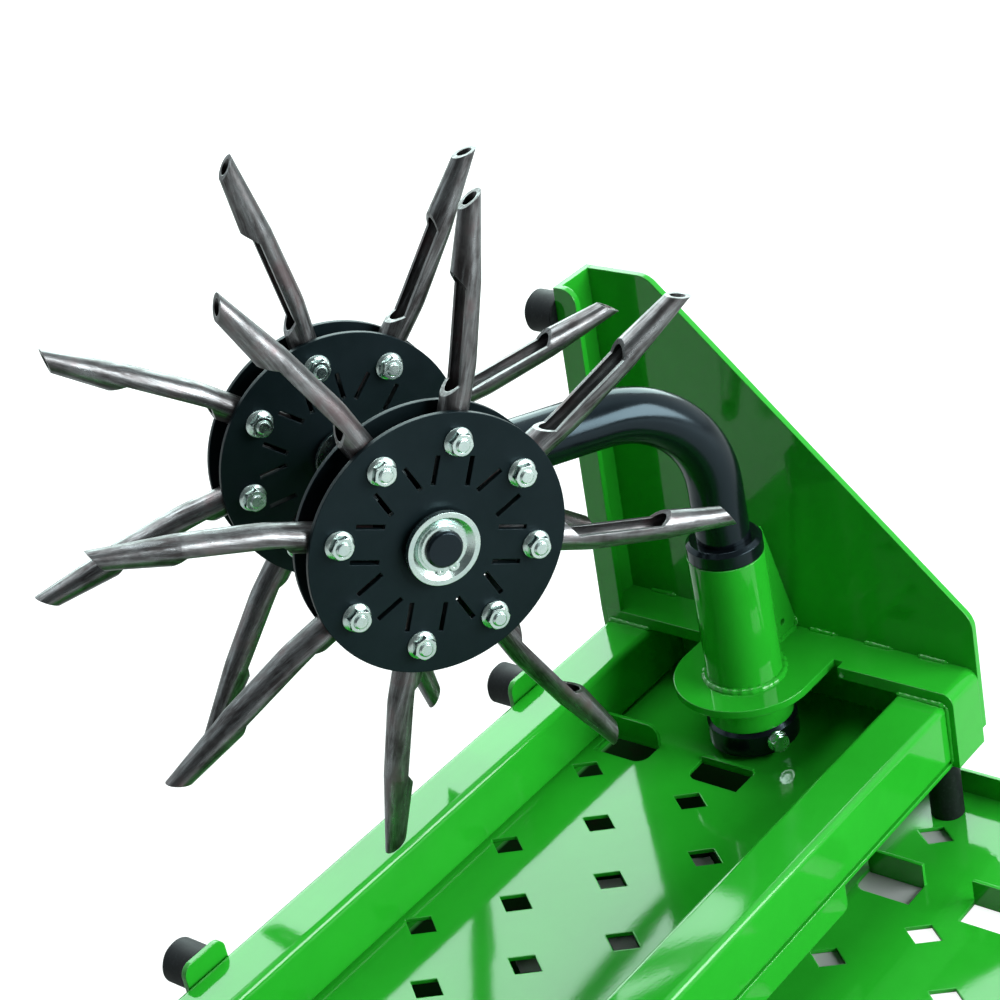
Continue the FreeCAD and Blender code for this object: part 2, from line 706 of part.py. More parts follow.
def make_bumpers():
    """The rubber bumpers on the back and the small tabs that hold the two on the beam."""
    height = beam_top
    tabs = new_body("bumper_tabs")
    for index, x in enumerate((d.bumper_right, d.bumper_left)):
        plate = new_sketch(tabs, f"tab_{index}", "XZ_Plane", -beam_outer)
        draw_rectangle(plate, (x - d.tab_half, height - d.tab_foot), (x + d.tab_half, height + d.tab_rise))
        add_pad(tabs, f"tab_sheet_{index}", plate, d.tab_sheet, reversed_way=True)
    round_edges(tabs, "tab_corners", d.bumper_radius / 2.0,
                lambda e: runs_along(e, 1) and near(middle(e).z, height + d.tab_rise))
    on_tab = beam_outer + d.tab_sheet
    low = d.bumper_top - d.bumper_radius
    high = d.bumper_top + d.bumper_radius
    for label, x, z, start in (
            ("bumper_near_end", d.bumper_right, height - d.bumper_drop, on_tab),
            ("bumper_far_end", d.bumper_left, height - d.bumper_drop, on_tab),
            ("bumper_top", cap_left + d.bumper_top_inset, d.bumper_top, back_edge(high) + d.end_sheet)):
        body = new_body(label)
        round_block = new_sketch(body, label + "_round", "XZ_Plane", -start)
        draw_circle(round_block, (x, z), d.bumper_radius)
        add_pad(body, label + "_block", round_block, d.bumper_length, reversed_way=True)
        far = start + d.bumper_length
        round_edges(body, label + "_edge", d.bumper_edge,
                    lambda e: len(e.Vertexes) == 1 and near(e.Vertexes[0].Point.y, far),
                    kind="PartDesign::Chamfer")
    seat = new_sketch(body, "bumper_top_seat", "YZ_Plane")
    clear = d.bumper_length / 2.0
    draw_outline(seat, [
        (back_edge(low) + d.end_sheet, low), (back_edge(high) + d.end_sheet, high),
        (back_edge(high) - clear, high), (back_edge(low) - clear, low)])
    add_pocket(body, "bumper_top_seat_cut", seat)


# ---------------------------------------------------------------- the caster

caster_turn = d.caster_rest - 180.0


def make_arm():
    """The bent bar: up through the pivot, over a wide bend and out to the axle."""
    body = new_body("caster_arm")
    turn = 90.0 - d.arm_rise
    upright = new_sketch(body, "arm_upright", "XY_Plane", collar_bottom)
    draw_circle(upright, (0.0, 0.0), d.arm_radius)
    add_pad(body, "arm_upright_bar", upright, arm_straight_end - collar_bottom)
    bend = new_sketch(body, "arm_bend_section", "XY_Plane", arm_straight_end)
    draw_circle(bend, (0.0, 0.0), d.arm_radius)
    add_bend(body, "arm_bend_bar", bend, -d.arm_bend, turn, True)
    over = new_turned_sketch(body, "arm_over", "XY_Plane", -bend_end_across, bend_end_height, -turn)
    draw_circle(over, (0.0, 0.0), d.arm_radius)
    add_pad(body, "arm_over_bar", over, (d.arm_reach - bend_end_across) / cosine(d.arm_rise))
    seat = new_sketch(body, "arm_seat", "XZ_Plane")
    draw_circle(seat, (-d.arm_reach, d.axle_height), d.boss_radius)
    add_pocket(body, "arm_cope", seat)
    bolt = new_sketch(body, "arm_bolt", "XZ_Plane")
    draw_circle(bolt, (0.0, collar_bottom + d.collar_height / 2.0), d.collar_bolt)
    add_pocket(body, "arm_bolt_bore", bolt)
    place(body, angle=caster_turn)


def make_ring_on_arm(label, bottom, outer, length, edge):
    """A ring fixed round the arm, with broken outer edges."""
    body = new_body(label)
    profile = new_sketch(body, label + "_ring", "XY_Plane", bottom)
    draw_circle(profile, (0.0, 0.0), outer)
    draw_circle(profile, (0.0, 0.0), d.arm_radius)
    add_pad(body, label + "_block", profile, length)
    round_edges(body, label + "_edges", edge,
                lambda e: len(e.Vertexes) == 1 and near(e.Curve.Radius, outer)
                and near(e.Vertexes[0].Point.z, bottom + length), kind="PartDesign::Chamfer")
    place(body, angle=caster_turn)
    return body


def make_collar():
    """The lock collar under the pivot, drilled for its through bolt."""
    body = make_ring_on_arm("lock_collar", collar_bottom, d.collar_radius, d.collar_height, d.ring_edge)
    bolt = new_sketch(body, "collar_bolt", "XZ_Plane")
    draw_circle(bolt, (0.0, collar_bottom + d.collar_height / 2.0), d.collar_bolt)
    add_pocket(body, "collar_bolt_bore", bolt)


def place_on_axle(thing):
    """Put a piece that is modelled about its own Y axis on the caster's axle."""
    thing.setExpression("Placement.Base.x", (-d.arm_reach * cosine(caster_turn)).text)
    thing.setExpression("Placement.Base.y", (-d.arm_reach * sine(caster_turn)).text)
    thing.setExpression("Placement.Base.z", d.axle_height.text)
    thing.Placement = FreeCAD.Placement(FreeCAD.Vector(0, 0, 0), FreeCAD.Rotation(Z_AXIS, 1.0))
    thing.setExpression("Placement.Rotation.Angle", caster_turn.text)


def make_axle():
    body = new_body("axle")
    section = new_sketch(body, "axle_section", "XZ_Plane")
    draw_circle(section, (0.0, 0.0), d.axle_radius)
    add_pad(body, "axle_bar", section, axle_half * 2.0, midplane=True)
    round_edges(body, "axle_ends", d.axle_edge, lambda e: len(e.Vertexes) == 1,
                kind="PartDesign::Chamfer")
    place_on_axle(body)


def add_ring(body, name, inner, outer, start, length):
    """A ring about Y whose near face stands at start, on the far side of the arm."""
    profile = new_sketch(body, name, "XZ_Plane", -start)
    draw_circle(profile, (0.0, 0.0), outer)
    draw_circle(profile, (0.0, 0.0), inner)
    return add_pad(body, name + "_block", profile, length, reversed_way=True)


def make_axle_rings():
    """The boss on the arm's end, the thrust washers, and the dished washers and snap rings outside."""
    boss = new_body("axle_boss")
    profile = new_sketch(boss, "boss_section", "XZ_Plane")
    draw_circle(profile, (0.0, 0.0), d.boss_radius)
    draw_circle(profile, (0.0, 0.0), d.axle_radius)
    add_pad(boss, "boss_block", profile, d.boss_length, midplane=True)
    place_on_axle(boss)
    inner = new_body("inner_washers")
    add_ring(inner, "inner_back", d.axle_radius, d.washer_radius, inner_washer_start, d.washer_height)
    add_ring(inner, "inner_front", d.axle_radius, d.washer_radius, -inner_washer_end, d.washer_height)
    place_on_axle(inner)
    outer = new_body("outer_washers")
    for name, side in (("outer_back", 1.0), ("outer_front", -1.0)):
        seat = (d.wheel_offset + washer_start) * side
        floor = seat + d.cup_floor * side
        rim = seat + d.cup_height * side
        dish = new_sketch(outer, name, "XY_Plane")
        draw_outline(dish, [
            (d.axle_radius, seat), (d.cup_radius, seat), (d.cup_radius, rim),
            (d.cup_radius - d.cup_rim, rim), (d.cup_floor_radius, floor), (d.axle_radius, floor)])
        add_revolution(outer, name + "_dish", dish, "Y_Axis")
    place_on_axle(outer)
    snaps = new_body("snap_rings")
    start = d.wheel_offset + snap_start
    add_ring(snaps, "snap_back", d.axle_radius, d.snap_radius, start, d.snap_height)
    add_ring(snaps, "snap_front", d.axle_radius, d.snap_radius, -start - d.snap_height, d.snap_height)
    gap = new_sketch(snaps, "snap_gap", "XZ_Plane")
    draw_rectangle(gap, (-d.snap_opening / 2.0, -d.snap_radius - 1.0), (d.snap_opening / 2.0, Size(0.0, "0")))
    add_pocket(snaps, "snap_gap_cut", gap)
    place_on_axle(snaps)


# ---------------------------------------------------------------- the wheels

def place_wheel(thing, side, phase):
    """Stand a wheel piece, modelled about its own Z axis, on the axle at side +1 or -1."""
    out = d.wheel_offset * side
    thing.setExpression("Placement.Base.x", (
        -d.arm_reach * cosine(caster_turn) - out * sine(caster_turn)).text)
    thing.setExpression("Placement.Base.y", (
        -d.arm_reach * sine(caster_turn) + out * cosine(caster_turn)).text)
    thing.setExpression("Placement.Base.z", d.axle_height.text)
    turned = FreeCAD.Rotation(Z_AXIS, float(caster_turn)).multiply(
        FreeCAD.Rotation(X_AXIS, 90.0)).multiply(FreeCAD.Rotation(Z_AXIS, float(phase)))
    thing.Placement = FreeCAD.Placement(FreeCAD.Vector(0, 0, 0), turned)


def make_disc(label, side, phase, face_side):
    """A wheel disc: bolt holes, and a pair of slots whose lanced lugs flank each tine's root."""
    body = new_body(label)
    low = d.tine_radius if face_side > 0 else -disc_face
    blank = new_sketch(body, label + "_blank", "XY_Plane", low)
    draw_circle(blank, (0.0, 0.0), d.disc_radius)
    draw_circle(blank, (0.0, 0.0), d.hub_radius)
    add_pad(body, label + "_plate", blank, d.disc_sheet)
    bolt = new_sketch(body, label + "_bolt", "XY_Plane")
    draw_circle(bolt, (d.bolt_circle, 0.0), d.bolt_hole)
    bolt_cut = add_pocket(body, label + "_bolt_hole", bolt)
    slots = new_sketch(body, label + "_slots", "XY_Plane")
    lug_low = d.tine_radius - d.lug_height if face_side > 0 else -d.tine_radius
    lugs = new_sketch(body, label + "_lugs", "XY_Plane", lug_low)
    slot_near = d.tine_radius + d.slot_clear
    slot_far = slot_near + d.slot_width
    slot_outer = d.slot_inner + d.slot_length
    draw_rectangle(slots, (d.slot_inner, slot_near), (slot_outer, slot_far))
    draw_rectangle(slots, (d.slot_inner, -slot_far), (slot_outer, -slot_near))
    draw_rectangle(lugs, (d.slot_inner, slot_far), (slot_outer, slot_far + d.lug_sheet))
    draw_rectangle(lugs, (d.slot_inner, -slot_far - d.lug_sheet), (slot_outer, -slot_far))
    slot_cut = add_pocket(body, label + "_slot_holes", slots)
    lug_pad = add_pad(body, label + "_lug_sheets", lugs, d.lug_height)
    repeat_round(body, label + "_holes", [bolt_cut, slot_cut, lug_pad], d.tine_count)
    place_wheel(body, side, phase)


def make_hub(label, side, phase):
    body = new_body(label)
    ring = new_sketch(body, label + "_ring", "XY_Plane", -hub_face)
    draw_circle(ring, (0.0, 0.0), d.hub_radius)
    draw_circle(ring, (0.0, 0.0), d.axle_radius + d.running_gap)
    add_pad(body, label + "_tube", ring, hub_face * 2.0)
    place_wheel(body, side, phase)


def draw_tube(sketch):
    """The tine's ring section, centred on the sketch."""
    draw_circle(sketch, (0.0, 0.0), d.tine_radius)
    draw_circle(sketch, (0.0, 0.0), d.tine_radius - d.tine_wall)


def make_tines(label, side, phase):
    """Eight coring tines: a bent tube, opened to a channel, with a slanted mouth."""
    body = new_body(label)
    spoon_angle = d.tine_turn - d.tine_lean
    spoon_slope = tangent(spoon_angle)
    setback = d.tine_bend * tangent(d.tine_turn / 2.0)
    root_y = (d.bolt_circle - d.tine_root) * tangent(d.tine_lean)
    kink_y = (d.bolt_circle - d.tine_kink) * tangent(d.tine_lean)
    bend_x = d.tine_kink - setback * cosine(d.tine_lean)
    bend_y = kink_y + setback * sine(d.tine_lean)
    spoon_x = d.tine_kink + setback * cosine(spoon_angle)
    spoon_y = kink_y + setback * sine(spoon_angle)
    shank = new_turned_sketch(body, label + "_shank", "YZ_Plane", root_y, d.tine_root, -d.tine_lean)
    draw_tube(shank)
    add_pad(body, label + "_shank_tube", shank, (d.tine_kink - d.tine_root) / cosine(d.tine_lean) - setback)
    bend = new_turned_sketch(body, label + "_bend", "YZ_Plane", bend_y, bend_x, -d.tine_lean)
    draw_tube(bend)
    add_bend(body, label + "_bend_tube", bend, d.tine_bend, d.tine_turn, False)
    spoon = new_turned_sketch(body, label + "_spoon", "YZ_Plane", spoon_y, spoon_x, spoon_angle)
    draw_tube(spoon)
    add_pad(body, label + "_spoon_tube", spoon, (d.taper_start - d.tine_kink) / cosine(spoon_angle) - setback)
    taper_y = kink_y + (d.taper_start - d.tine_kink) * spoon_slope
    tip_y = kink_y + (d.tine_tip - d.tine_kink) * spoon_slope
    tip_radius = d.tine_radius - (d.tine_tip - d.taper_start) * tangent(d.taper_angle)
    cone = new_sketch(body, label + "_cone", "XY_Plane")
    axis = cone.addGeometry(Part.LineSegment(flat((d.taper_start, taper_y)), flat((d.tine_tip, tip_y))), True)
    fix_point(cone, axis, 1, (d.taper_start, taper_y))
    fix_point(cone, axis, 2, (d.tine_tip, tip_y))
    draw_outline(cone, [
        (x - radius * sine(spoon_angle), y + radius * cosine(spoon_angle))
        for x, y, radius in ((d.taper_start, taper_y, d.tine_radius - d.tine_wall),
                             (d.taper_start, taper_y, d.tine_radius),
                             (d.tine_tip, tip_y, tip_radius),
                             (d.tine_tip, tip_y, tip_radius - d.tine_wall))])
    taper = body.newObject("PartDesign::Revolution", label + "_taper")
    taper.Profile = cone
    taper.ReferenceAxis = (cone, ["Axis0"])
    taper.Angle = 360
    doc.recompute()
    clear = d.tine_radius * 2.0
    channel = new_sketch(body, label + "_channel", "XY_Plane")
    ramp_end = d.channel_start + d.channel_ramp
    shoulder = d.channel_end - d.channel_shoulder
    floor_start = (d.bolt_circle - ramp_end) * tangent(d.tine_lean) + d.channel_lift
    floor_end = kink_y + (shoulder - d.tine_kink) * spoon_slope + d.channel_lift
    wall_top = kink_y + (d.channel_end - d.tine_kink) * spoon_slope + d.tine_radius + d.channel_lift
    draw_outline(channel, [
        (d.channel_start, kink_y + clear), (ramp_end, floor_start), (shoulder, floor_end),
        (d.channel_end, wall_top), (d.channel_end, wall_top + clear), (d.channel_start, wall_top + clear)])
    add_pocket(body, label + "_channel_cut", channel)
    mouth = new_sketch(body, label + "_mouth", "XY_Plane")
    mouth_x = d.tine_tip - d.mouth_setback
    mouth_y = tip_y + tip_radius
    draw_outline(mouth, [
        (mouth_x, mouth_y + d.channel_lift), (d.tine_tip, tip_y - tip_radius),
        (d.tine_tip + clear, tip_y - clear), (d.tine_tip + clear, tip_y + clear),
        (mouth_x - d.tine_radius, tip_y + clear)])
    add_pocket(body, label + "_mouth_cut", mouth)
    pattern = repeat_round(body, label + "_round", [], d.tine_count)
    pattern.TransformMode = "Whole shape"
    doc.recompute()
    place_wheel(body, side, phase)


def make_wheel(name, side, phase):
    make_disc(f"{name}_front_disc", side, phase, 1)
    make_disc(f"{name}_back_disc", side, phase, -1)
    make_hub(f"{name}_hub", side, phase)
    make_tines(f"{name}_tines", side, phase)


make_tray()
make_feet()
make_deck()
make_beam("front_beam", -beam_outer)
make_beam("rear_beam", d.beam_inner)
make_cross_member()
make_end_plate()
make_back_flange()
make_end_cap()
make_sleeve()
make_bush("upper_bush", d.sleeve_top - d.bush_length)
make_bush("lower_bush", d.sleeve_bottom)
make_gusset()
make_bumpers()
make_arm()
make_ring_on_arm("stop_ring", ring_bottom, d.ring_radius, d.ring_height, d.ring_edge)
make_collar()
make_axle()
make_axle_rings()
make_wheel("near_wheel", -1.0, d.near_phase)
make_wheel("far_wheel", 1.0, d.far_phase)

doc.recompute()
for thing in doc.Objects:
    if "Invalid" in thing.State or "Error" in thing.State:
        raise RuntimeError(f"{thing.Name} is {thing.State}")
os.makedirs("parts", exist_ok=True)
for thing in node_objects:
    shape = thing.Shape
    if shape.isNull() or not shape.isValid():
        raise RuntimeError(f"{thing.Label} has no valid shape")
    shape.exportStep(f"parts/{thing.Label}.step")
    box = shape.BoundBox
    print(f"{thing.Label}: {len(shape.Solids)} solids, {shape.Volume / 1000:.1f} cm3,"
          f" {box.XMin:.1f}..{box.XMax:.1f}, {box.YMin:.1f}..{box.YMax:.1f}, {box.ZMin:.1f}..{box.ZMax:.1f}")
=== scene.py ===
# %% [markdown]
# # The end section of a lawn aerator
#
# Two coring wheels turn on a bent black arm, and the arm swivels in a sleeve on a green welded frame.
# The solid parts come from the CAD model and stay as they are, all but the deck, which gets its full
# rows of holes here.  This notebook adds what the CAD model leaves out: nuts and bolts, the small ears
# on the snap rings, weld beads, and a finish for every surface.  All lengths are in metres.

# %% Load the frame
import json
import math

import bmesh
import bpy
import numpy as np
from mathutils import Matrix, Vector
from mathutils.geometry import delaunay_2d_cdt


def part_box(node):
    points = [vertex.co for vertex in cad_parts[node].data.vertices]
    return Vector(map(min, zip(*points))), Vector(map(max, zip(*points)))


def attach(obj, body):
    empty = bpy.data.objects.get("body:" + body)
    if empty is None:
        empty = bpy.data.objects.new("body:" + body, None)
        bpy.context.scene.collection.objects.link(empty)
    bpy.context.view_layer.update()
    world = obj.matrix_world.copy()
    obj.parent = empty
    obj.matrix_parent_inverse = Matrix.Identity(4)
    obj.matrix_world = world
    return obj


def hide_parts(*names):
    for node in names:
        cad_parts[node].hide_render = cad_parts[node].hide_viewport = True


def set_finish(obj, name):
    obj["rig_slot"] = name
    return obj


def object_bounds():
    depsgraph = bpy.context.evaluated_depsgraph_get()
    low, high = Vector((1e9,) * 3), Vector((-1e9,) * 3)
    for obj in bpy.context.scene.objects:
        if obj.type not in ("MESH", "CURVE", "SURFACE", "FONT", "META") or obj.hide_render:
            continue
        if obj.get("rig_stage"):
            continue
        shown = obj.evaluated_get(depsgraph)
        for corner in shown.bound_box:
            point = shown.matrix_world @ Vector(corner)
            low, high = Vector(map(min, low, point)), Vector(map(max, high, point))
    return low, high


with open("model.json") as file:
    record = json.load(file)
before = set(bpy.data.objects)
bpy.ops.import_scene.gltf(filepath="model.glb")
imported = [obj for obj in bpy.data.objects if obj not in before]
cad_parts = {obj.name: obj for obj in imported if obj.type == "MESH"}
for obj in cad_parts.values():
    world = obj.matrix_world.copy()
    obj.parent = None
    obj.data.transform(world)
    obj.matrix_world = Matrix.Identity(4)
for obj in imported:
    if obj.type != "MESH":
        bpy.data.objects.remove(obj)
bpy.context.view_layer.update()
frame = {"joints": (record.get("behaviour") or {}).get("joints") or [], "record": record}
MM = 0.001

# %% [markdown]
# The wheels' axes are read from the joints, so that every added piece follows the CAD model.
# The axle lies level.  `out` points along it towards the front wheel's open side, `along` points
# from the axle back to the pivot, and the third direction is straight up.

# %% Directions of the caster
joint_of = {joint["child"]: joint for joint in frame["joints"]}
wheel_centre = {name: np.array(joint_of[name]["pos_m"]) for name in ("near_wheel", "far_wheel")}
axle_centre = (wheel_centre["near_wheel"] + wheel_centre["far_wheel"]) / 2
up = np.array([0.0, 0.0, 1.0])
out = wheel_centre["near_wheel"] - wheel_centre["far_wheel"]
out = out / np.linalg.norm(out)
across = np.cross(up, out)
along = -axle_centre * np.array([1.0, 1.0, 0.0])
along = along / np.linalg.norm(along)
print("axle points along", out.round(4), "and the arm along", along.round(4))

# %% Sizes shared by several pieces
BEAM_INNER = 110 * MM
BEAM_OUTER = 151 * MM
beam_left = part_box("front_beam")[0].x
beam_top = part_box("front_beam")[1].z
deck_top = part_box("front_beam")[0].z
cross_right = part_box("cross_member")[1].x
cap_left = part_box("back_flange")[0].x
cap_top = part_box("pivot_gusset")[0].z
plate_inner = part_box("end_plate")[0].x
gusset_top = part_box("pivot_gusset")[1].z
SLEEVE_RADIUS = 28.5 * MM
SLEEVE_FOOT_RADIUS = 32 * MM
CAP_SHEET = 6 * MM
GUSSET_HALF = 3 * MM
ARM_RADIUS = 20 * MM
ARM_RISE = math.radians(4)
BOSS_RADIUS = 24 * MM
HUB_RADIUS = 19 * MM
DISC_OUTER = 13.5 * MM
BOLT_CIRCLE = 69.5 * MM
TINE_COUNT = 8
PHASE = {"near_wheel": math.radians(22.2), "far_wheel": math.radians(3.3)}
print("beam top", round(beam_top, 3), "cap top", round(cap_top, 3), "deck", round(deck_top, 3))

# %% [markdown]
# ## From arrays to meshes
#
# Each new piece is one or more surfaces.  A surface is a grid of points that numpy works out in one go,
# with its neighbours joined by four-sided faces.  A piece could be started from Blender's own
# cylinders, but a grid keeps the shape's formula in plain sight and gives clean, even faces.

# %% Grids and pieces
def grid_faces(rows, columns, closed_rows=False, closed_columns=True):
    """Faces of a grid: each point is joined to the next in its row and in the next row."""
    row = np.arange(rows if closed_rows else rows - 1)
    column = np.arange(columns if closed_columns else columns - 1)
    row, column = np.meshgrid(row, column, indexing="ij")
    next_row, next_column = (row + 1) % rows, (column + 1) % columns
    corners = [row * columns + column, row * columns + next_column,
               next_row * columns + next_column, next_row * columns + column]
    return np.stack(corners, axis=-1).reshape(-1, 4)


def make_piece(name, surfaces, body, slot, sharp_degrees=35, fills=()):
    """Put the surfaces into one mesh, close its poles, turn its faces outwards and let it ride.

    A surface is a grid with the options for its faces, and a fill is flat points with their triangles.
    """
    points, faces, start = [], [], 0
    for grid, options in surfaces:
        rows, columns = grid.shape[:2]
        points.append(grid.reshape(-1, 3))
        faces += (grid_faces(rows, columns, **options) + start).tolist()
        start += rows * columns
    for flat_points, triangles in fills:
        points.append(flat_points)
        faces += (triangles + start).tolist()
        start += len(flat_points)
    mesh = bpy.data.meshes.new(name)
    mesh.from_pydata(np.concatenate(points).tolist(), [], faces)
    shape = bmesh.new()
    shape.from_mesh(mesh)
    bmesh.ops.remove_doubles(shape, verts=shape.verts, dist=0.000002)
    bmesh.ops.recalc_face_normals(shape, faces=shape.faces)
    shape.to_mesh(mesh)
    shape.free()
    mesh.shade_smooth()
    mesh.set_sharp_from_angle(angle=math.radians(sharp_degrees))
    piece = bpy.data.objects.new(name, mesh)
    bpy.context.scene.collection.objects.link(piece)
    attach(piece, body)
    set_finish(piece, slot)
    print(f"{name}: {len(surfaces) + len(fills)} surfaces, {len(mesh.polygons)} faces, rides on {body}")
    return piece


def placed(grid, origin, axis, reference):
    """Turn a grid so that its third direction is axis and its first is near reference, then move it."""
    axis = np.asarray(axis, float) / np.linalg.norm(axis)
    first = np.asarray(reference, float) - np.dot(reference, axis) * axis
    first = first / np.linalg.norm(first)
    second = np.cross(axis, first)
    return grid @ np.stack([first, second, axis]) + np.asarray(origin, float)


# %% [markdown]
# ## Flange nuts and bolts
#
# A flange nut is a hexagon that stands on a round skirt, with its top corners turned down to a cone.
# One formula gives all of that: at each angle the radius is the smaller of a round limit and the
# hexagon's own radius.  Where the round limit is the smaller, the corners are cut away, as on a real nut.

# %% Turned hexagons
ROUND_STEPS = 72
angles = np.linspace(0, 2 * math.pi, ROUND_STEPS, endpoint=False)
sixth = math.pi / 3


def turned_hexagon(stations, across_flats):
    """A turned form with flats: stations list (height, round limit, whether the flats cut in).

    The hexagon's radius is half its width over the flats, divided by the cosine of the angle
    from the nearest flat's middle.  Each station's radius is the smaller of that and its limit.
    """
    from_flat = (angles + sixth / 2) % sixth - sixth / 2
    hexagon = across_flats / 2 / np.cos(from_flat)
    height, limit, has_flats = (np.array(column, float)[:, None] for column in zip(*stations))
    radius = np.where(has_flats > 0, np.minimum(hexagon[None, :], limit), limit + 0 * hexagon[None, :])
    return np.stack([radius * np.cos(angles), radius * np.sin(angles), height + 0 * radius], axis=-1)


def flange_nut(width, height, skirt):
    """The nut's stations, from the middle of its seat, over the skirt and the flats, to its bore."""
    corner = width / 2 / math.cos(sixth / 2)
    return turned_hexagon([
        (0, 0, 0), (0, skirt, 0), (0.11 * height, skirt, 0), (0.2 * height, skirt * 0.94, 0),
        (0.3 * height, corner * 1.02, 0), (0.34 * height, corner, 1), (0.84 * height, corner, 1),
        (0.93 * height, corner * 0.965, 1), (height, corner * 0.88, 1), (height, width * 0.36, 0),
        (0.94 * height, width * 0.33, 0), (0.94 * height, 0, 0)], width)


def bolt_head(width, height, skirt):
    """The head's stations: skirt, flats, turned corners and a slightly domed top."""
    corner = width / 2 / math.cos(sixth / 2)
    return turned_hexagon([
        (0, 0, 0), (0, skirt, 0), (0.12 * height, skirt, 0), (0.24 * height, skirt * 0.93, 0),
        (0.36 * height, corner * 1.02, 0), (0.4 * height, corner, 1), (0.8 * height, corner, 1),
        (0.92 * height, corner * 0.95, 1), (height, corner * 0.86, 1), (height * 1.02, width * 0.36, 0),
        (height * 0.97, width * 0.3, 0), (height * 0.99, width * 0.15, 0), (height, 0, 0)], width)


THREAD_PITCH, THREAD_DEPTH = 1.25 * MM, 0.12
STUD_SIDES, STUD_RINGS = 36, 20


def threaded_end(radius, low, high):
    """A stud's end: the radius falls and rises in a triangle wave that climbs with the angle."""
    turn = np.linspace(0, 2 * math.pi, STUD_SIDES, endpoint=False)
    height = np.linspace(low, high - 0.8 * MM, STUD_RINGS)[:, None]
    wave = np.abs(((height / THREAD_PITCH - turn[None, :] / (2 * math.pi)) % 1.0) * 2 - 1)
    depth = radius - THREAD_DEPTH * radius * wave
    thread = np.stack([depth * np.cos(turn), depth * np.sin(turn), height + 0 * depth], axis=-1)
    tip_radius = np.array([0.84 * radius, 0.78 * radius, 0.4 * radius, 0.0])[:, None]
    tip_height = np.array([high - 0.5 * MM, high, high, high])[:, None]
    tip = np.stack([tip_radius * np.cos(turn), tip_radius * np.sin(turn), tip_height + 0 * turn], axis=-1)
    return np.concatenate([thread, tip])


print("a hexagon one wide over its flats has corners at", round(0.5 / math.cos(sixth / 2), 3))

# %% [markdown]
# Eight bolts clamp the tines between each pair of discs.  They are pushed through from the back, so
# the nuts and the stud ends face the front on both wheels.  Each nut ends at its own angle, since it is
# only as tight as its tine needs.

# %% Bolts through the wheels
NUT_WIDTH, NUT_HEIGHT, NUT_SKIRT = 14 * MM, 7.5 * MM, 9.8 * MM
HEAD_HEIGHT = 6 * MM
STUD_RADIUS, STUD_REACH = 4.9 * MM, 9.0 * MM
SPIN_STEP, FIRST_SPIN = 0.7, {"near_wheel": 0.4, "far_wheel": 1.1}

for wheel in ("near_wheel", "far_wheel"):
    nuts, heads = [], []
    for index in range(TINE_COUNT):
        angle = PHASE[wheel] + index * 2 * math.pi / TINE_COUNT
        place = wheel_centre[wheel] + BOLT_CIRCLE * (math.cos(angle) * across + math.sin(angle) * up)
        spin = SPIN_STEP * index + FIRST_SPIN[wheel]
        towards = math.cos(spin) * across + math.sin(spin) * up
        seat = place + out * DISC_OUTER
        nuts += [(placed(flange_nut(NUT_WIDTH, NUT_HEIGHT, NUT_SKIRT), seat, out, towards), {}),
                 (placed(threaded_end(STUD_RADIUS, NUT_HEIGHT * 0.9, STUD_REACH), seat, out, towards), {})]
        heads.append((placed(bolt_head(NUT_WIDTH, HEAD_HEIGHT, NUT_SKIRT),
                             place - out * DISC_OUTER, -out, towards), {}))
    make_piece(wheel + "_nuts", nuts, wheel, "zinc_plate")
    make_piece(wheel + "_bolt_heads", heads, wheel, "zinc_plate")

# %% [markdown]
# One bolt crosses the lock collar under the pivot and keeps the arm from lifting out.
# Its head faces the front, over a plain washer, and its nut is at the back.

# %% The collar's cross bolt
COLLAR_RADIUS, SEAT_DEPTH = 34 * MM, 0.6 * MM
COLLAR_BOLT_WIDTH, COLLAR_BOLT_SKIRT = 13 * MM, 7.4 * MM
WASHER_RADIUS, WASHER_THICK = 8 * MM, 1.6 * MM
collar_low, collar_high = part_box("lock_collar")
collar_middle = np.array([0, 0, (collar_low.z + collar_high.z) / 2])


def plain_washer(radius, thick):
    """A washer without its hidden bore: seat, rim with a broken edge, and face."""
    return turned_hexagon([(0, 0, 0), (0, radius, 0), (thick * 0.8, radius, 0),
                           (thick, radius * 0.97, 0), (thick, 0, 0)], 1.0)


collar_bolt = []
for way, form in ((1, bolt_head(COLLAR_BOLT_WIDTH, 6 * MM, COLLAR_BOLT_SKIRT)),
                  (-1, flange_nut(COLLAR_BOLT_WIDTH, 7 * MM, COLLAR_BOLT_SKIRT))):
    seat = collar_middle + out * way * (COLLAR_RADIUS - SEAT_DEPTH)
    collar_bolt += [(placed(plain_washer(WASHER_RADIUS, WASHER_THICK), seat, out * way, up), {}),
                    (placed(form, seat + out * way * WASHER_THICK, out * way, up + across * 0.4), {})]
collar_bolt.append((placed(threaded_end(3.9 * MM, 6 * MM, 9.4 * MM),
                           collar_middle - out * (COLLAR_RADIUS + 1 * MM), -out, up), {}))
make_piece("collar_bolt", collar_bolt, "caster", "zinc_plate")

# %% [markdown]
# The three rubber bumpers are screwed on through the middle.  A screw with a wide domed head and a
# washer sits on each bumper's free end.

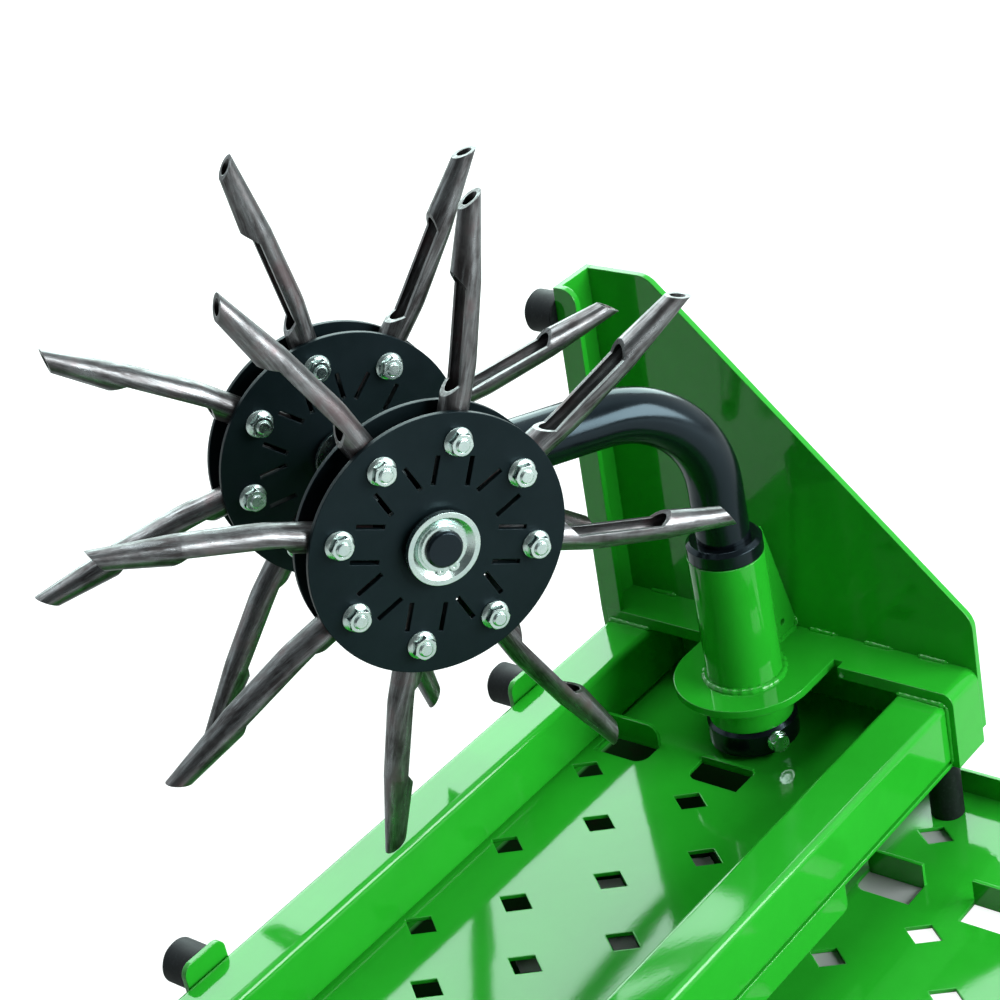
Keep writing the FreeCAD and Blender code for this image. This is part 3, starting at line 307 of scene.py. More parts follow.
# %% Bumper screws
SCREW_WASHER_RADIUS, SCREW_WASHER_THICK = 7.5 * MM, 1.2 * MM
dome = turned_hexagon([(0, 0, 0), (0, 5 * MM, 0), (0.8 * MM, 5 * MM, 0), (1.9 * MM, 4.1 * MM, 0),
                       (2.7 * MM, 2.7 * MM, 0), (2.9 * MM, 2.2 * MM, 0), (1.4 * MM, 2.0 * MM, 0),
                       (1.4 * MM, 0, 0)], 1.0)
screw_washer = plain_washer(SCREW_WASHER_RADIUS, SCREW_WASHER_THICK)
bumper_screws = []
for node in ("bumper_near_end", "bumper_far_end", "bumper_top"):
    low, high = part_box(node)
    seat = np.array([(low.x + high.x) / 2, high.y, (low.z + high.z) / 2])
    bumper_screws += [(placed(screw_washer, seat, (0, 1, 0), up), {}),
                      (placed(dome, seat + np.array([0, SCREW_WASHER_THICK, 0]), (0, 1, 0), up), {})]
make_piece("bumper_screws", bumper_screws, "frame", "zinc_plate")

# %% [markdown]
# ## Ears on the snap rings
#
# A snap ring is a flat spring ring with a gap.  At each side of the gap it widens into an ear with a
# small hole, which the pliers grip.  The CAD ring has the gap, so only the ears are added.

# %% Snap ring ears
EAR_RADIUS, EAR_BORE, EAR_THICK = 3.4 * MM, 1.2 * MM, 1.8 * MM
snap_low, snap_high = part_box("snap_rings")
snap_radius = snap_high.z - axle_centre[2]
snap_face = ((snap_high.y - snap_low.y) / 2 - snap_radius * abs(out[0])) / abs(out[1])
print("ring radius", round(snap_radius * 1000, 2), "mm, outer face", round(snap_face * 1000, 2), "mm out")


def ear_ring():
    """An ear: a small ring whose section runs round its bore, rim and both faces."""
    section = [(EAR_BORE, 0), (EAR_RADIUS, 0), (EAR_RADIUS, EAR_THICK), (EAR_BORE, EAR_THICK)]
    radius, height = (np.array(column)[:, None] for column in zip(*section))
    turn = angles[None, ::3]
    return np.stack([radius * np.cos(turn), radius * np.sin(turn), height + 0 * turn], axis=-1)


GAP_HALF = math.radians(17)
snap_ears = []
for way in (1, -1):
    for side in (1, -1):
        gap_angle = -math.pi / 2 + side * GAP_HALF
        spot = snap_radius * (math.cos(gap_angle) * across * way + math.sin(gap_angle) * up)
        inner_face = axle_centre + out * way * (snap_face - EAR_THICK)
        snap_ears.append((placed(ear_ring(), inner_face + spot, out * way, up), {"closed_rows": True}))
make_piece("snap_ring_ears", snap_ears, "caster", "zinc_plate")

# %% [markdown]
# ## The perforated deck
#
# The deck is one sheet, punched and then folded.  Its diamond holes stand in rows, and every second row
# is shifted by half a pitch.  The solid sheet lacks the rows behind its middle line, so this piece
# takes its place, with the same outline and folds and with all the rows.  A punched sheet is an outline
# and the outlines of its holes, given a thickness.  Boolean modifiers could cut the holes one by one,
# but filling between the outlines gives flat, clean faces at once.

# %% Slabs from outlines
CORNER_STEPS = 9


def corner_box(low, high, which, radius):
    """A rectangle's outline, with the corner that which names, counted from low, turned to an arc."""
    corners = [np.array([corner]) for corner in (low, (high[0], low[1]), high, (low[0], high[1]))]
    inwards = np.array([(1, 1), (-1, 1), (-1, -1), (1, -1)][which])
    turn = math.radians(180 + 90 * which) + np.linspace(0, math.pi / 2, CORNER_STEPS)[:, None]
    arc = inwards + np.concatenate([np.cos(turn), np.sin(turn)], axis=1)
    corners[which] = corners[which] + radius * arc
    return np.concatenate(corners)


def inside(points, ring):
    """True where a point lies to the left of every side of a ring that runs round a bulging shape."""
    side = np.roll(ring, -1, axis=0) - ring
    away = points[:, None, :] - ring
    return np.all(side[:, 0] * away[..., 1] > side[:, 1] * away[..., 0], axis=1)


def slab(rings, thickness, origin, first, second):
    """A flat sheet: a wall along each ring, and two faces filled between the first ring and the rest."""
    plane = np.array([first, second], float)
    lift = np.cross(plane[0], plane[1]) * thickness
    walls = [(np.stack([origin + ring @ plane, origin + ring @ plane + lift]), {}) for ring in rings]
    starts = np.cumsum([0] + [len(ring) for ring in rings])
    edges = [np.stack([np.arange(len(ring)), np.roll(np.arange(len(ring)), -1)], axis=-1) + start
             for ring, start in zip(rings, starts)]
    only_enclosed, tolerance = 1, 1e-7
    filled = delaunay_2d_cdt(np.concatenate(rings).tolist(), np.concatenate(edges).tolist(), [],
                             only_enclosed, tolerance)
    flat, triangles = np.array(filled[0]), np.array(filled[2])
    middles = flat[triangles].mean(axis=1)
    in_holes = sum((inside(middles, ring) for ring in rings[1:]), np.zeros(len(triangles), bool))
    points, triangles = origin + flat @ plane, triangles[~in_holes]
    return walls, [(points, triangles), (points + lift, triangles)]


unit_square = corner_box((0, 0), (1, 1), 0, 0.2)
print("its middle is inside a square:", inside(np.array([[0.5, 0.5]]), unit_square)[0])

# %% [markdown]
# Beside the pivot the sheet has two windows.  Each was cut on three sides, and the tab was bent up along
# the fourth.  The front edge of the sheet is folded down to a skirt, which stiffens it.

# %% The deck sheet
SHEET = 3 * MM
PITCH_ALONG, PITCH_ACROSS, FIRST_HOLE = 99.75 * MM, 94.3 * MM, -88 * MM
HOLE_ALONG, HOLE_ACROSS = 11 * MM, 15 * MM
WINDOW_LEFT, WINDOW_WIDTH, WINDOW_LENGTH, WINDOW_CORNER = -65 * MM, 23 * MM, 46 * MM, 10 * MM
LOW_TAB = 3.5 * MM
HAIR = 0.01 * MM
SKIRT_RIGHT, SKIRT_CORNER = -119 * MM, 5 * MM
sheet_low, sheet_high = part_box("deck_sheet")
deck_under = deck_top - SHEET
diamond = np.array([(HOLE_ALONG, 0), (0, HOLE_ACROSS), (-HOLE_ALONG, 0), (0, -HOLE_ACROSS)])


def lattice(first_x, columns, rows):
    """Holes in columns and rows, centred on the sheet's middle line."""
    x = first_x - PITCH_ALONG * np.arange(columns)
    y = PITCH_ACROSS * (np.arange(rows) - (rows - 1) / 2)
    middles = np.stack(np.meshgrid(x, y), axis=-1).reshape(-1, 1, 2)
    return list(middles + diamond)


rings = [corner_box((sheet_low.x, sheet_low.y), (sheet_high.x, sheet_high.y), 0, HAIR)]
rings += lattice(FIRST_HOLE, 5, 3) + lattice(FIRST_HOLE - PITCH_ALONG / 2, 4, 2)
tabs = []
window_right = WINDOW_LEFT + WINDOW_WIDTH
windows = ((83 * MM, 0, 3, sheet_high.z), (-2 * MM, 3, 2, deck_top + LOW_TAB))
for middle, window_arc, tab_arc, tab_top in windows:
    near_side, far_side = middle - WINDOW_LENGTH / 2, middle + WINDOW_LENGTH / 2
    rings.append(corner_box((WINDOW_LEFT, near_side), (window_right, far_side), window_arc, WINDOW_CORNER))
    outline = corner_box((near_side, deck_top), (far_side, tab_top), tab_arc, (tab_top - deck_top) / 2)
    tabs.append(slab([outline], SHEET, (window_right + HAIR, 0, 0), (0, 1, 0), (0, 0, 1)))
skirt = slab([corner_box((sheet_low.x, sheet_low.z), (SKIRT_RIGHT, deck_under), 1, SKIRT_CORNER)], SHEET,
             (0, sheet_low.y + SHEET, 0), (1, 0, 0), (0, 0, 1))
sheet_parts = [slab(rings, SHEET, (0, 0, deck_under), (1, 0, 0), (0, 1, 0)), skirt, *tabs]
deck = make_piece("perforated_deck", sum((walls for walls, _ in sheet_parts), []), "frame", "green_paint",
                  fills=sum((fill for _, fill in sheet_parts), []))
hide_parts("deck_sheet")
print("the deck has", len(rings) - 3, "diamond holes")

# %% [markdown]
# ## Weld beads
#
# A weld bead is a row of overlapping pools of metal, so it looks like a thin rope with even ripples.
# Here each bead is a tube carried along a path.  Its radius swells and shrinks once for each pool, and
# a few slow waves keep it from looking machined.  Half of the tube is buried in the joint.

# %% The bead surface
BEAD_SIDES, BEAD_SHARP = 10, 60
POOL, SMALL_POOL, FINE_POOL = 7 * MM, 5 * MM, 3.5 * MM
bead_turn = np.linspace(0, 2 * math.pi, BEAD_SIDES, endpoint=False)


def bead(path, radius, pool=POOL):
    """A closed tube along path: radius times one plus a ripple, tapering to nothing at both ends."""
    path = np.asarray(path, float)
    length = np.concatenate([[0], np.cumsum(np.linalg.norm(np.diff(path, axis=0), axis=1))])
    steps = max(int(length[-1] / (pool / 10)), 8)
    travel = np.linspace(0, length[-1], steps)
    points = np.stack([np.interp(travel, length, path[:, k]) for k in range(3)], axis=-1)
    tangent = np.gradient(points, axis=0)
    tangent /= np.linalg.norm(tangent, axis=1)[:, None]
    side = np.cross(tangent, np.where(np.abs(tangent[:, 2:]) > 0.8, across[None, :], up[None, :]))
    side /= np.linalg.norm(side, axis=1)[:, None]
    top = np.cross(side, tangent)
    ripple = (0.06 * np.sin(2 * math.pi * travel / pool)
              + 0.10 * np.sin(travel / (11 * MM) + length[-1] * 90)
              + 0.04 * np.sin(travel / (4.3 * MM)))
    ends = np.clip(np.minimum(travel, travel[-1] - travel) / (radius * 1.3), 0, 1) ** 0.5
    size = (radius * (1 + ripple) * ends)[:, None, None]
    ring = (np.cos(bead_turn)[None, :, None] * side[:, None, :]
            + np.sin(bead_turn)[None, :, None] * top[:, None, :])
    return points[:, None, :] + size * ring, {}


def line(start, end):
    """A straight path between two points."""
    share = np.linspace(0, 1, 24)[:, None]
    return np.asarray(start, float) * (1 - share) + np.asarray(end, float) * share


def ring_path(centre, radius, first, second):
    """A circular path about centre in the plane of the directions first and second."""
    turn = np.linspace(0.0, 2 * math.pi, 97)[:, None]
    return (np.asarray(centre, float) + radius * (np.cos(turn) * np.asarray(first, float)
                                                  + np.sin(turn) * np.asarray(second, float)))


print("a 100 mm bead has", int(100 * MM / POOL), "pools")

# %% [markdown]
# The frame's beads follow its joints: round the sleeve, up both sides of the gusset, along the cap's
# lips, at the cross member, and in short stitches between the cap strip and the end plate.

# %% Welds of the frame
STITCH_STARTS, STITCH_LENGTH = (14, 62, 108), 26
GUSSET_TOE, TAB_HALF = 9 * MM, 19 * MM
x_axis, y_axis = np.array([1.0, 0, 0]), np.array([0, 1.0, 0])
sleeve_side = math.sqrt(SLEEVE_RADIUS ** 2 - GUSSET_HALF ** 2)
cap_under = cap_top - CAP_SHEET
welds = [bead(ring_path((0, 0, cap_top), SLEEVE_RADIUS + 0.6 * MM, x_axis, y_axis), 3.4 * MM),
         bead(ring_path((0, 0, cap_under), SLEEVE_FOOT_RADIUS, x_axis, y_axis), 2.2 * MM)]
for side in (1, -1):
    face, inner, outer = GUSSET_HALF * side, BEAM_INNER * side, BEAM_OUTER * side
    for start, end, radius in (
            ((sleeve_side, face, cap_top), (sleeve_side, face, gusset_top), 2.2 * MM),
            ((sleeve_side, face, cap_top), (plate_inner, face, cap_top), 2.4 * MM),
            ((plate_inner, face, cap_top), (plate_inner, face, cap_top + GUSSET_TOE), 2.4 * MM),
            ((cap_left, inner, beam_top), (cap_left, outer, beam_top), 2.6 * MM),
            ((beam_left, inner, beam_top), (cross_right, inner, beam_top), 2.4 * MM),
            ((cross_right, inner, deck_top), (cross_right, inner, beam_top), 2.4 * MM)):
        welds.append(bead(line(start, end), radius))
    for start in STITCH_STARTS:
        first, last = start * MM * side, (start + STITCH_LENGTH) * MM * side
        welds.append(bead(line((plate_inner, first, cap_top), (plate_inner, last, cap_top)), 2.4 * MM))
welds.append(bead(line((cap_left, -BEAM_OUTER, deck_top), (cap_left, -BEAM_OUTER, beam_top)), 2.0 * MM))
tab_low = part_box("bumper_tabs")[0]
bumper_at = [(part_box(node)[0].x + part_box(node)[1].x) / 2 for node in ("bumper_near_end", "bumper_far_end")]
for middle in bumper_at:
    for side in (1, -1):
        edge = middle + TAB_HALF * side
        start, end = (edge, BEAM_OUTER, tab_low.z + 2 * MM), (edge, BEAM_OUTER, beam_top - 6 * MM)
        welds.append(bead(line(start, end), 1.8 * MM))
make_piece("frame_welds", welds, "frame", "green_paint", sharp_degrees=BEAD_SHARP)

# %% [markdown]
# The arm ends on a round boss.  Where a bar meets a tube, the joint is a saddle: at each angle round
# the bar, the distance along it is the square root of the boss's radius squared less the bar's height
# over its middle squared.

# %% Welds of the caster and the hubs
arm_way = math.cos(ARM_RISE) * along - math.sin(ARM_RISE) * up
arm_up = math.sin(ARM_RISE) * along + math.cos(ARM_RISE) * up
turn = np.linspace(0, 2 * math.pi, 121)[:, None]
sideways, upwards = ARM_RADIUS * np.cos(turn), ARM_RADIUS * np.sin(turn)
reach = np.sqrt(BOSS_RADIUS ** 2 - upwards ** 2)
saddle = axle_centre + reach * arm_way + sideways * out + upwards * arm_up
saddle_bead = bead(saddle, 3.6 * MM, SMALL_POOL)
make_piece("caster_welds", [saddle_bead], "caster", "black_paint", sharp_degrees=BEAD_SHARP)
for wheel in ("near_wheel", "far_wheel"):
    faces = [wheel_centre[wheel] + out * DISC_OUTER * way for way in (1, -1)]
    hub_beads = [bead(ring_path(face, HUB_RADIUS, across, up), 1.6 * MM, FINE_POOL) for face in faces]
    make_piece(wheel + "_welds", hub_beads, wheel, "black_paint", sharp_degrees=BEAD_SHARP)

# %% [markdown]
# ## Finishes
#
# Every finish is a set of nodes, so it has detail at any distance and needs no image.  Three effects
# are wanted in several finishes, and each is built once as a node group: slow changes of tone, the
# dimpled skin of sprayed and baked paint, and softened edges.

# %% Small helpers for nodes
def feed(tree, socket, value):
    """Link the socket when the value is another socket, and else set it."""
    if isinstance(value, bpy.types.NodeSocket):
        tree.links.new(value, socket)
    else:
        socket.default_value = value


def add_node(tree, kind, settings=None, **inputs):
    """Add a node with its settings and inputs: i0 and i1 count them, other words name them."""
    made = tree.nodes.new(kind)
    for name, value in (settings or {}).items():
        setattr(made, name, value)
    for name, value in inputs.items():
        is_number = name[0] == "i" and name[1:].isdigit()
        feed(tree, made.inputs[int(name[1:]) if is_number else name.replace("_", " ").title()], value)
    return made


def blend_colours(tree, share, first, second):
    """Mix two colours by share and give the result's socket."""
    made = tree.nodes.new("ShaderNodeMix")
    made.data_type, made.blend_type = "RGBA", "MIX"
    for key, value in (("Factor", share), (6, first), (7, second)):
        lacks_alpha = isinstance(value, tuple) and len(value) == 3
        feed(tree, made.inputs[key], (*value, 1) if lacks_alpha else value)
    return made.outputs[2]


def arithmetic(tree, operation, first, second=0.0, clamp=False):
    """Work out one step on two numbers or sockets and give the result's socket."""
    settings = {"operation": operation, "use_clamp": clamp}
    return add_node(tree, "ShaderNodeMath", settings, i0=first, i1=second).outputs[0]


def times(tree, first, second):
    """Multiply two numbers or sockets."""
    return arithmetic(tree, "MULTIPLY", first, second)


def bumps(tree, strength, distance, height, **normal):
    """Turn heights into the normal that they give a surface."""
    made = add_node(tree, "ShaderNodeBump", None, strength=strength, distance=distance, height=height,
                    **normal)
    return made.outputs[0]


def remap(tree, value, from_low, from_high, to_low, to_high):
    """Carry a value from one range to another, held at its ends."""
    made = add_node(tree, "ShaderNodeMapRange", i0=value, i1=from_low, i2=from_high, i3=to_low, i4=to_high)
    return made.outputs[0]


def new_group(name, inputs, outputs):
    """An empty node group with its inputs and outputs."""
    group = bpy.data.node_groups.new(name, "ShaderNodeTree")
    for label, kind, value in inputs:
        socket = group.interface.new_socket(label, in_out="INPUT", socket_type=kind)
        if value is not None:
            socket.default_value = value
    for label, kind in outputs:
        group.interface.new_socket(label, in_out="OUTPUT", socket_type=kind)
    return group, group.nodes.new("NodeGroupInput"), group.nodes.new("NodeGroupOutput")


def place_group(tree, group, **values):
    """A copy of a group inside a finish, with its own values."""
    made = tree.nodes.new("ShaderNodeGroup")
    made.node_tree = group
    for name, value in values.items():
        feed(tree, made.inputs[name.title()], value)
    return made


# %% [markdown]
# Tone is the slow change over a hand's width that keeps a large face from looking printed.  It is the
# sum of a broad noise and a finer one, squeezed towards its middle by the contrast.

# %% Node group: tone
tone_group, given, result = new_group(
    "Slow tone", [("Scale", "NodeSocketFloat", 5.0), ("Contrast", "NodeSocketFloat", 1.0)],
    [("Tone", "NodeSocketFloat"), ("Grime", "NodeSocketFloat")])
place_in = tone_group.nodes.new("ShaderNodeTexCoord").outputs["Object"]
broad = add_node(tone_group, "ShaderNodeTexNoise", None, vector=place_in, scale=given.outputs["Scale"],
                 detail=3.0, roughness=0.5)
finer_scale = times(tone_group, given.outputs["Scale"], 9.0)
finer = add_node(tone_group, "ShaderNodeTexNoise", None, vector=place_in, scale=finer_scale,
                 detail=5.0, roughness=0.62)
both = arithmetic(tone_group, "ADD", times(tone_group, broad.outputs[0], 0.7),
                  times(tone_group, finer.outputs[0], 0.3))
centred = times(tone_group, arithmetic(tone_group, "SUBTRACT", both, 0.5), 3.0)
scaled = times(tone_group, centred, given.outputs["Contrast"])
tone_group.links.new(arithmetic(tone_group, "ADD", scaled, 0.5, clamp=True), result.inputs["Tone"])
tone_group.links.new(remap(tone_group, finer.outputs[0], 0.52, 0.72, 0.0, 1.0), result.inputs["Grime"])
print("group:", tone_group.name, [s.name for s in tone_group.interface.items_tree])

# %% [markdown]
# Powder coat is sprayed as dust and melted in an oven, which leaves a skin of soft dimples about two
# millimetres apart, like the peel of an orange.  The group gives their height only.

# %% Node group: orange peel
peel_group, given, result = new_group("Orange peel", [("Scale", "NodeSocketFloat", 450.0)],
                                      [("Height", "NodeSocketFloat")])
place_in = peel_group.nodes.new("ShaderNodeTexCoord").outputs["Object"]
dimples = add_node(peel_group, "ShaderNodeTexNoise", None, vector=place_in, scale=given.outputs["Scale"],
                   detail=1.5, roughness=0.4)
waves_scale = times(peel_group, given.outputs["Scale"], 0.12)
waves = add_node(peel_group, "ShaderNodeTexNoise", None, vector=place_in, scale=waves_scale, detail=1.0)
peel_sum = arithmetic(peel_group, "ADD", dimples.outputs[0], times(peel_group, waves.outputs[0], 2.5))
peel_group.links.new(peel_sum, result.inputs["Height"])
print("group:", peel_group.name)

# %% [markdown]
# No real edge is perfectly sharp: it is rounded by the cutting and by the paint, and it catches a
# thin line of light.  The Bevel node finds that rounding by looking at the faces nearby.  How far its
# normal leans from the face's own normal tells where an edge is, which is also where paint is thin.

# %% Node group: soft edges
edge_group, given, result = new_group("Soft edges", [("Radius", "NodeSocketFloat", 0.001)],
                                      [("Normal", "NodeSocketVector"), ("Edge", "NodeSocketFloat")])
rounded = add_node(edge_group, "ShaderNodeBevel", {"samples": 6}, radius=given.outputs["Radius"])
own = edge_group.nodes.new("ShaderNodeNewGeometry").outputs["Normal"]
agree = add_node(edge_group, "ShaderNodeVectorMath", {"operation": "DOT_PRODUCT"},
                 i0=rounded.outputs[0], i1=own)
edge_group.links.new(rounded.outputs[0], result.inputs["Normal"])
edge_group.links.new(remap(edge_group, agree.outputs["Value"], 0.99, 0.8, 0.0, 1.0), result.inputs["Edge"])
print("group:", edge_group.name)


def new_finish(name, **constants):
    """A material with a Principled shader whose plain values are set on its own sockets."""
    material = bpy.data.materials.new(name)
    material.use_nodes = True
    shader = material.node_tree.nodes["Principled BSDF"]
    for label, value in constants.items():
        shader.inputs[label.replace("_", " ")].default_value = value
    return material, material.node_tree, shader


def connect(tree, shader, **sockets):
    """Link sockets to the shader's inputs of the same names."""
    for label, socket in sockets.items():
        tree.links.new(socket, shader.inputs[label.replace("_", " ").title()])


# %% [markdown]
# ### Green powder coat
#
# The frame's paint is a deep clear green with a high gloss.  Its colour barely changes, but its edges are
# painted a paler, brighter green, partly for thin paint and partly as a painted highlight along them, and the
# orange peel breaks up every reflection.
# The tray gets painted shade under the deck, where it is seen only through the deck's holes: its paint is made
# dark and dull there, and this fades out at both sides.

# %% Green paint
PAINTED_SHADE_FRONT, FRONT_FADE = -0.125, 0.025
PAINTED_SHADE_BACK, BACK_FADE = 0.150, 0.006


def make_green(name, has_painted_shade=False):
    """The gloss paint, and for the tray also painted shade under the deck."""
    material, tree, shader = new_finish(name, IOR=1.5)
    tone = place_group(tree, tone_group, scale=7.0, contrast=0.8)
    edges = place_group(tree, edge_group, radius=0.0013)
    peel = place_group(tree, peel_group, scale=420.0)
    flat = blend_colours(tree, tone.outputs["Tone"], (0.018, 0.37, 0.019), (0.023, 0.43, 0.025))
    # Painted highlight: edges are coloured a brighter green, as a line of light along them, together with
    # thinner paint.
    edge_paint_and_highlight = times(tree, edges.outputs["Edge"], 0.55)
    coloured = blend_colours(tree, edge_paint_and_highlight, flat, (0.06, 0.66, 0.07))
    gloss = remap(tree, tone.outputs["Tone"], 0.0, 1.0, 0.05, 0.10)
    if has_painted_shade:
        # Painted shade: under the deck the tray is coloured nearly black, made rougher and its reflection
        # turned down.
        where = tree.nodes.new("ShaderNodeTexCoord").outputs["Object"]
        depth = add_node(tree, "ShaderNodeSeparateXYZ", None, vector=where).outputs["Y"]
        painted_shade = times(tree, remap(tree, depth, PAINTED_SHADE_FRONT, PAINTED_SHADE_FRONT + FRONT_FADE, 0.0, 1.0),
                     remap(tree, depth, PAINTED_SHADE_BACK, PAINTED_SHADE_BACK + BACK_FADE, 1.0, 0.0))
        shade_colour = blend_colours(tree, tone.outputs["Grime"], (0.004, 0.018, 0.004), (0.010, 0.012, 0.006))
        coloured = blend_colours(tree, painted_shade, coloured, shade_colour)
        gloss = arithmetic(tree, "ADD", gloss, times(tree, painted_shade, 0.7))
        tree.links.new(remap(tree, painted_shade, 0.0, 1.0, 0.5, 0.0), shader.inputs["Specular IOR Level"])
    dimpled = bumps(tree, 0.07, 0.0002, peel.outputs[0], normal=edges.outputs["Normal"])
    connect(tree, shader, base_color=coloured, roughness=gloss, normal=dimpled)
    return material


green_paint = make_green("green_powder_coat")
tray_green = make_green("tray_powder_coat", has_painted_shade=True)
print("finishes:", green_paint.name, tray_green.name)

# %% [markdown]
# ### Black coats
#
# The discs have a satin coat with a fine grain.  The arm, the collar and the rings are glossier.  Both
# coats mirror light with a blue cast, and both come from one function, with their own roughness and
# grain.

# %% Black paint
BLUE_CAST = (0.62, 0.86, 1.0, 1.0)


def make_black(name, dark, pale, rough_low, rough_high, grain, depth, mirror):
    """A black coat: two close tones, roughness that follows them, and grain of its own size."""
    material, tree, shader = new_finish(name, IOR=1.5, Specular_IOR_Level=mirror, Specular_Tint=BLUE_CAST)
    tone = place_group(tree, tone_group, scale=11.0, contrast=1.2)
    edges = place_group(tree, edge_group, radius=0.0009)
    peel = place_group(tree, peel_group, scale=grain)
    flat = blend_colours(tree, tone.outputs["Tone"], dark, pale)
    worn = times(tree, edges.outputs["Edge"], tone.outputs["Grime"])
    coloured = blend_colours(tree, times(tree, worn, 0.6), flat, (0.10, 0.105, 0.11))
    gloss = remap(tree, tone.outputs["Tone"], 0.0, 1.0, rough_low, rough_high)
    grainy = bumps(tree, depth, 0.0002, peel.outputs[0], normal=edges.outputs["Normal"])
    connect(tree, shader, base_color=coloured, roughness=gloss, normal=grainy)
    return material


disc_black = make_black("disc_satin_black", (0.003, 0.007, 0.008), (0.006, 0.011, 0.013),
                        rough_low=0.36, rough_high=0.46, grain=900.0, depth=0.15, mirror=0.2)
arm_black = make_black("arm_gloss_black", (0.002, 0.003, 0.004), (0.003, 0.005, 0.007),
                       rough_low=0.15, rough_high=0.24, grain=500.0, depth=0.10, mirror=0.42)
print("finishes:", disc_black.name, arm_black.name)

# %% [markdown]
# ### Tine steel
#
# The tines are bent hot and left bare, so they carry a dark grey skin with a red flush in patches and
# scratches that run along them.  The scratches follow each tine, and the tines stand round a wheel.  So the
# coordinates are first turned to the wheel: the distance from the axle runs along every tine, and
# the angle runs round the wheel.  A noise that is stretched along the distance makes the scratches.
# Red scale stays where nothing rubs it off, inside the channel, which the occlusion node finds.  The same mask
# also paints shade into the channel, which is coloured nearly black there.

# %% Tine steel
def make_tine_steel(name, centre):
    """Bare steel with marks along the tines of the wheel whose middle is centre."""
    material, tree, shader = new_finish(name, Metallic=0.9)
    where = tree.nodes.new("ShaderNodeTexCoord").outputs["Object"]
    level = math.atan2(across[1], across[0])
    centred = add_node(tree, "ShaderNodeVectorMath", {"operation": "SUBTRACT"}, i0=where, i1=tuple(centre))
    turned = add_node(tree, "ShaderNodeVectorRotate", {"rotation_type": "Z_AXIS"},
                      vector=centred.outputs[0], angle=-level)
    part = add_node(tree, "ShaderNodeSeparateXYZ", None, vector=turned.outputs[0])
    flat_place = add_node(tree, "ShaderNodeCombineXYZ", None, x=part.outputs["X"], y=part.outputs["Z"])
    distance = add_node(tree, "ShaderNodeVectorMath", {"operation": "LENGTH"}, i0=flat_place.outputs[0])
    angle = arithmetic(tree, "ARCTAN2", part.outputs["Z"], part.outputs["X"])
    spun = add_node(tree, "ShaderNodeCombineXYZ", None,
                    x=times(tree, distance.outputs["Value"], 18.0),
                    y=times(tree, angle, 30.0),
                    z=times(tree, part.outputs["Y"], 260.0))
    scratches = add_node(tree, "ShaderNodeTexNoise", None, vector=spun.outputs[0], scale=1.6, detail=6.0,
                         roughness=0.65)
    patches = add_node(tree, "ShaderNodeTexNoise", None, vector=where, scale=34.0, detail=4.0, roughness=0.6)
    tone = place_group(tree, tone_group, scale=60.0, contrast=1.1)
    cavity = add_node(tree, "ShaderNodeAmbientOcclusion", {"samples": 4}, distance=0.012)
    hidden = remap(tree, cavity.outputs["AO"], 0.75, 0.3, 0.0, 1.0)
    edges = place_group(tree, edge_group, radius=0.0005)
    skin = blend_colours(tree, remap(tree, patches.outputs[0], 0.38, 0.6, 0.0, 1.0),
                         (0.062, 0.055, 0.056), (0.170, 0.166, 0.168))
    scraped = remap(tree, scratches.outputs[0], 0.45, 0.72, 0.0, 0.6)
    skin = blend_colours(tree, scraped, skin, (0.42, 0.44, 0.45))
    # Painted shade: the hollows that the occlusion node finds are darkened nearly to black.
    skin = blend_colours(tree, times(tree, hidden, 0.8), skin, (0.022, 0.020, 0.020))
    rust = times(tree, hidden, remap(tree, patches.outputs[0], 0.48, 0.62, 0.0, 0.7))
    skin = blend_colours(tree, rust, skin, (0.14, 0.035, 0.035))
    flush = remap(tree, patches.outputs[0], 0.54, 0.66, 0.0, 0.5)
    skin = blend_colours(tree, flush, skin, (0.13, 0.068, 0.072))
    bright = times(tree, edges.outputs["Edge"], 0.5)
    skin = blend_colours(tree, bright, skin, (0.40, 0.42, 0.42))
    gloss = arithmetic(tree, "ADD", remap(tree, scratches.outputs[0], 0.3, 0.7, 0.38, 0.24),
                       times(tree, hidden, 0.25))
    marks = arithmetic(tree, "ADD", scratches.outputs[0], times(tree, tone.outputs["Tone"], 0.6))
    rough_skin = bumps(tree, 0.3, 0.0003, marks, normal=edges.outputs["Normal"])
    connect(tree, shader, base_color=skin, roughness=gloss, normal=rough_skin)
    return material


tine_steel = {wheel: make_tine_steel(wheel + "_tine_steel", wheel_centre[wheel]) for wheel in wheel_centre}
print("finishes:", [material.name for material in tine_steel.values()])

# %% [markdown]
# ### Zinc, rubber and bronze
#
# Bright zinc has a cool silver colour with faint clouds from its passivation, and fine dulling.  Rubber
# is matt, with a fine grain and a faint grey bloom in patches.  The bushes are plain turned bronze, with
# the fine rings of the lathe.

# %% Zinc plate
zinc_plate, tree, shader = new_finish("bright_zinc", Metallic=1.0)
tone = place_group(tree, tone_group, scale=90.0, contrast=1.3)
edges = place_group(tree, edge_group, radius=0.0004)
clouds = blend_colours(tree, tone.outputs["Tone"], (0.66, 0.80, 0.77), (0.80, 0.92, 0.86))
dulled = times(tree, tone.outputs["Grime"], 0.35)
clouds = blend_colours(tree, dulled, clouds, (0.34, 0.34, 0.32))
gloss = remap(tree, tone.outputs["Tone"], 0.0, 1.0, 0.18, 0.32)
pitted = bumps(tree, 0.12, 0.0001, tone.outputs["Tone"], normal=edges.outputs["Normal"])
connect(tree, shader, base_color=clouds, roughness=gloss, normal=pitted)
print("finish:", zinc_plate.name)

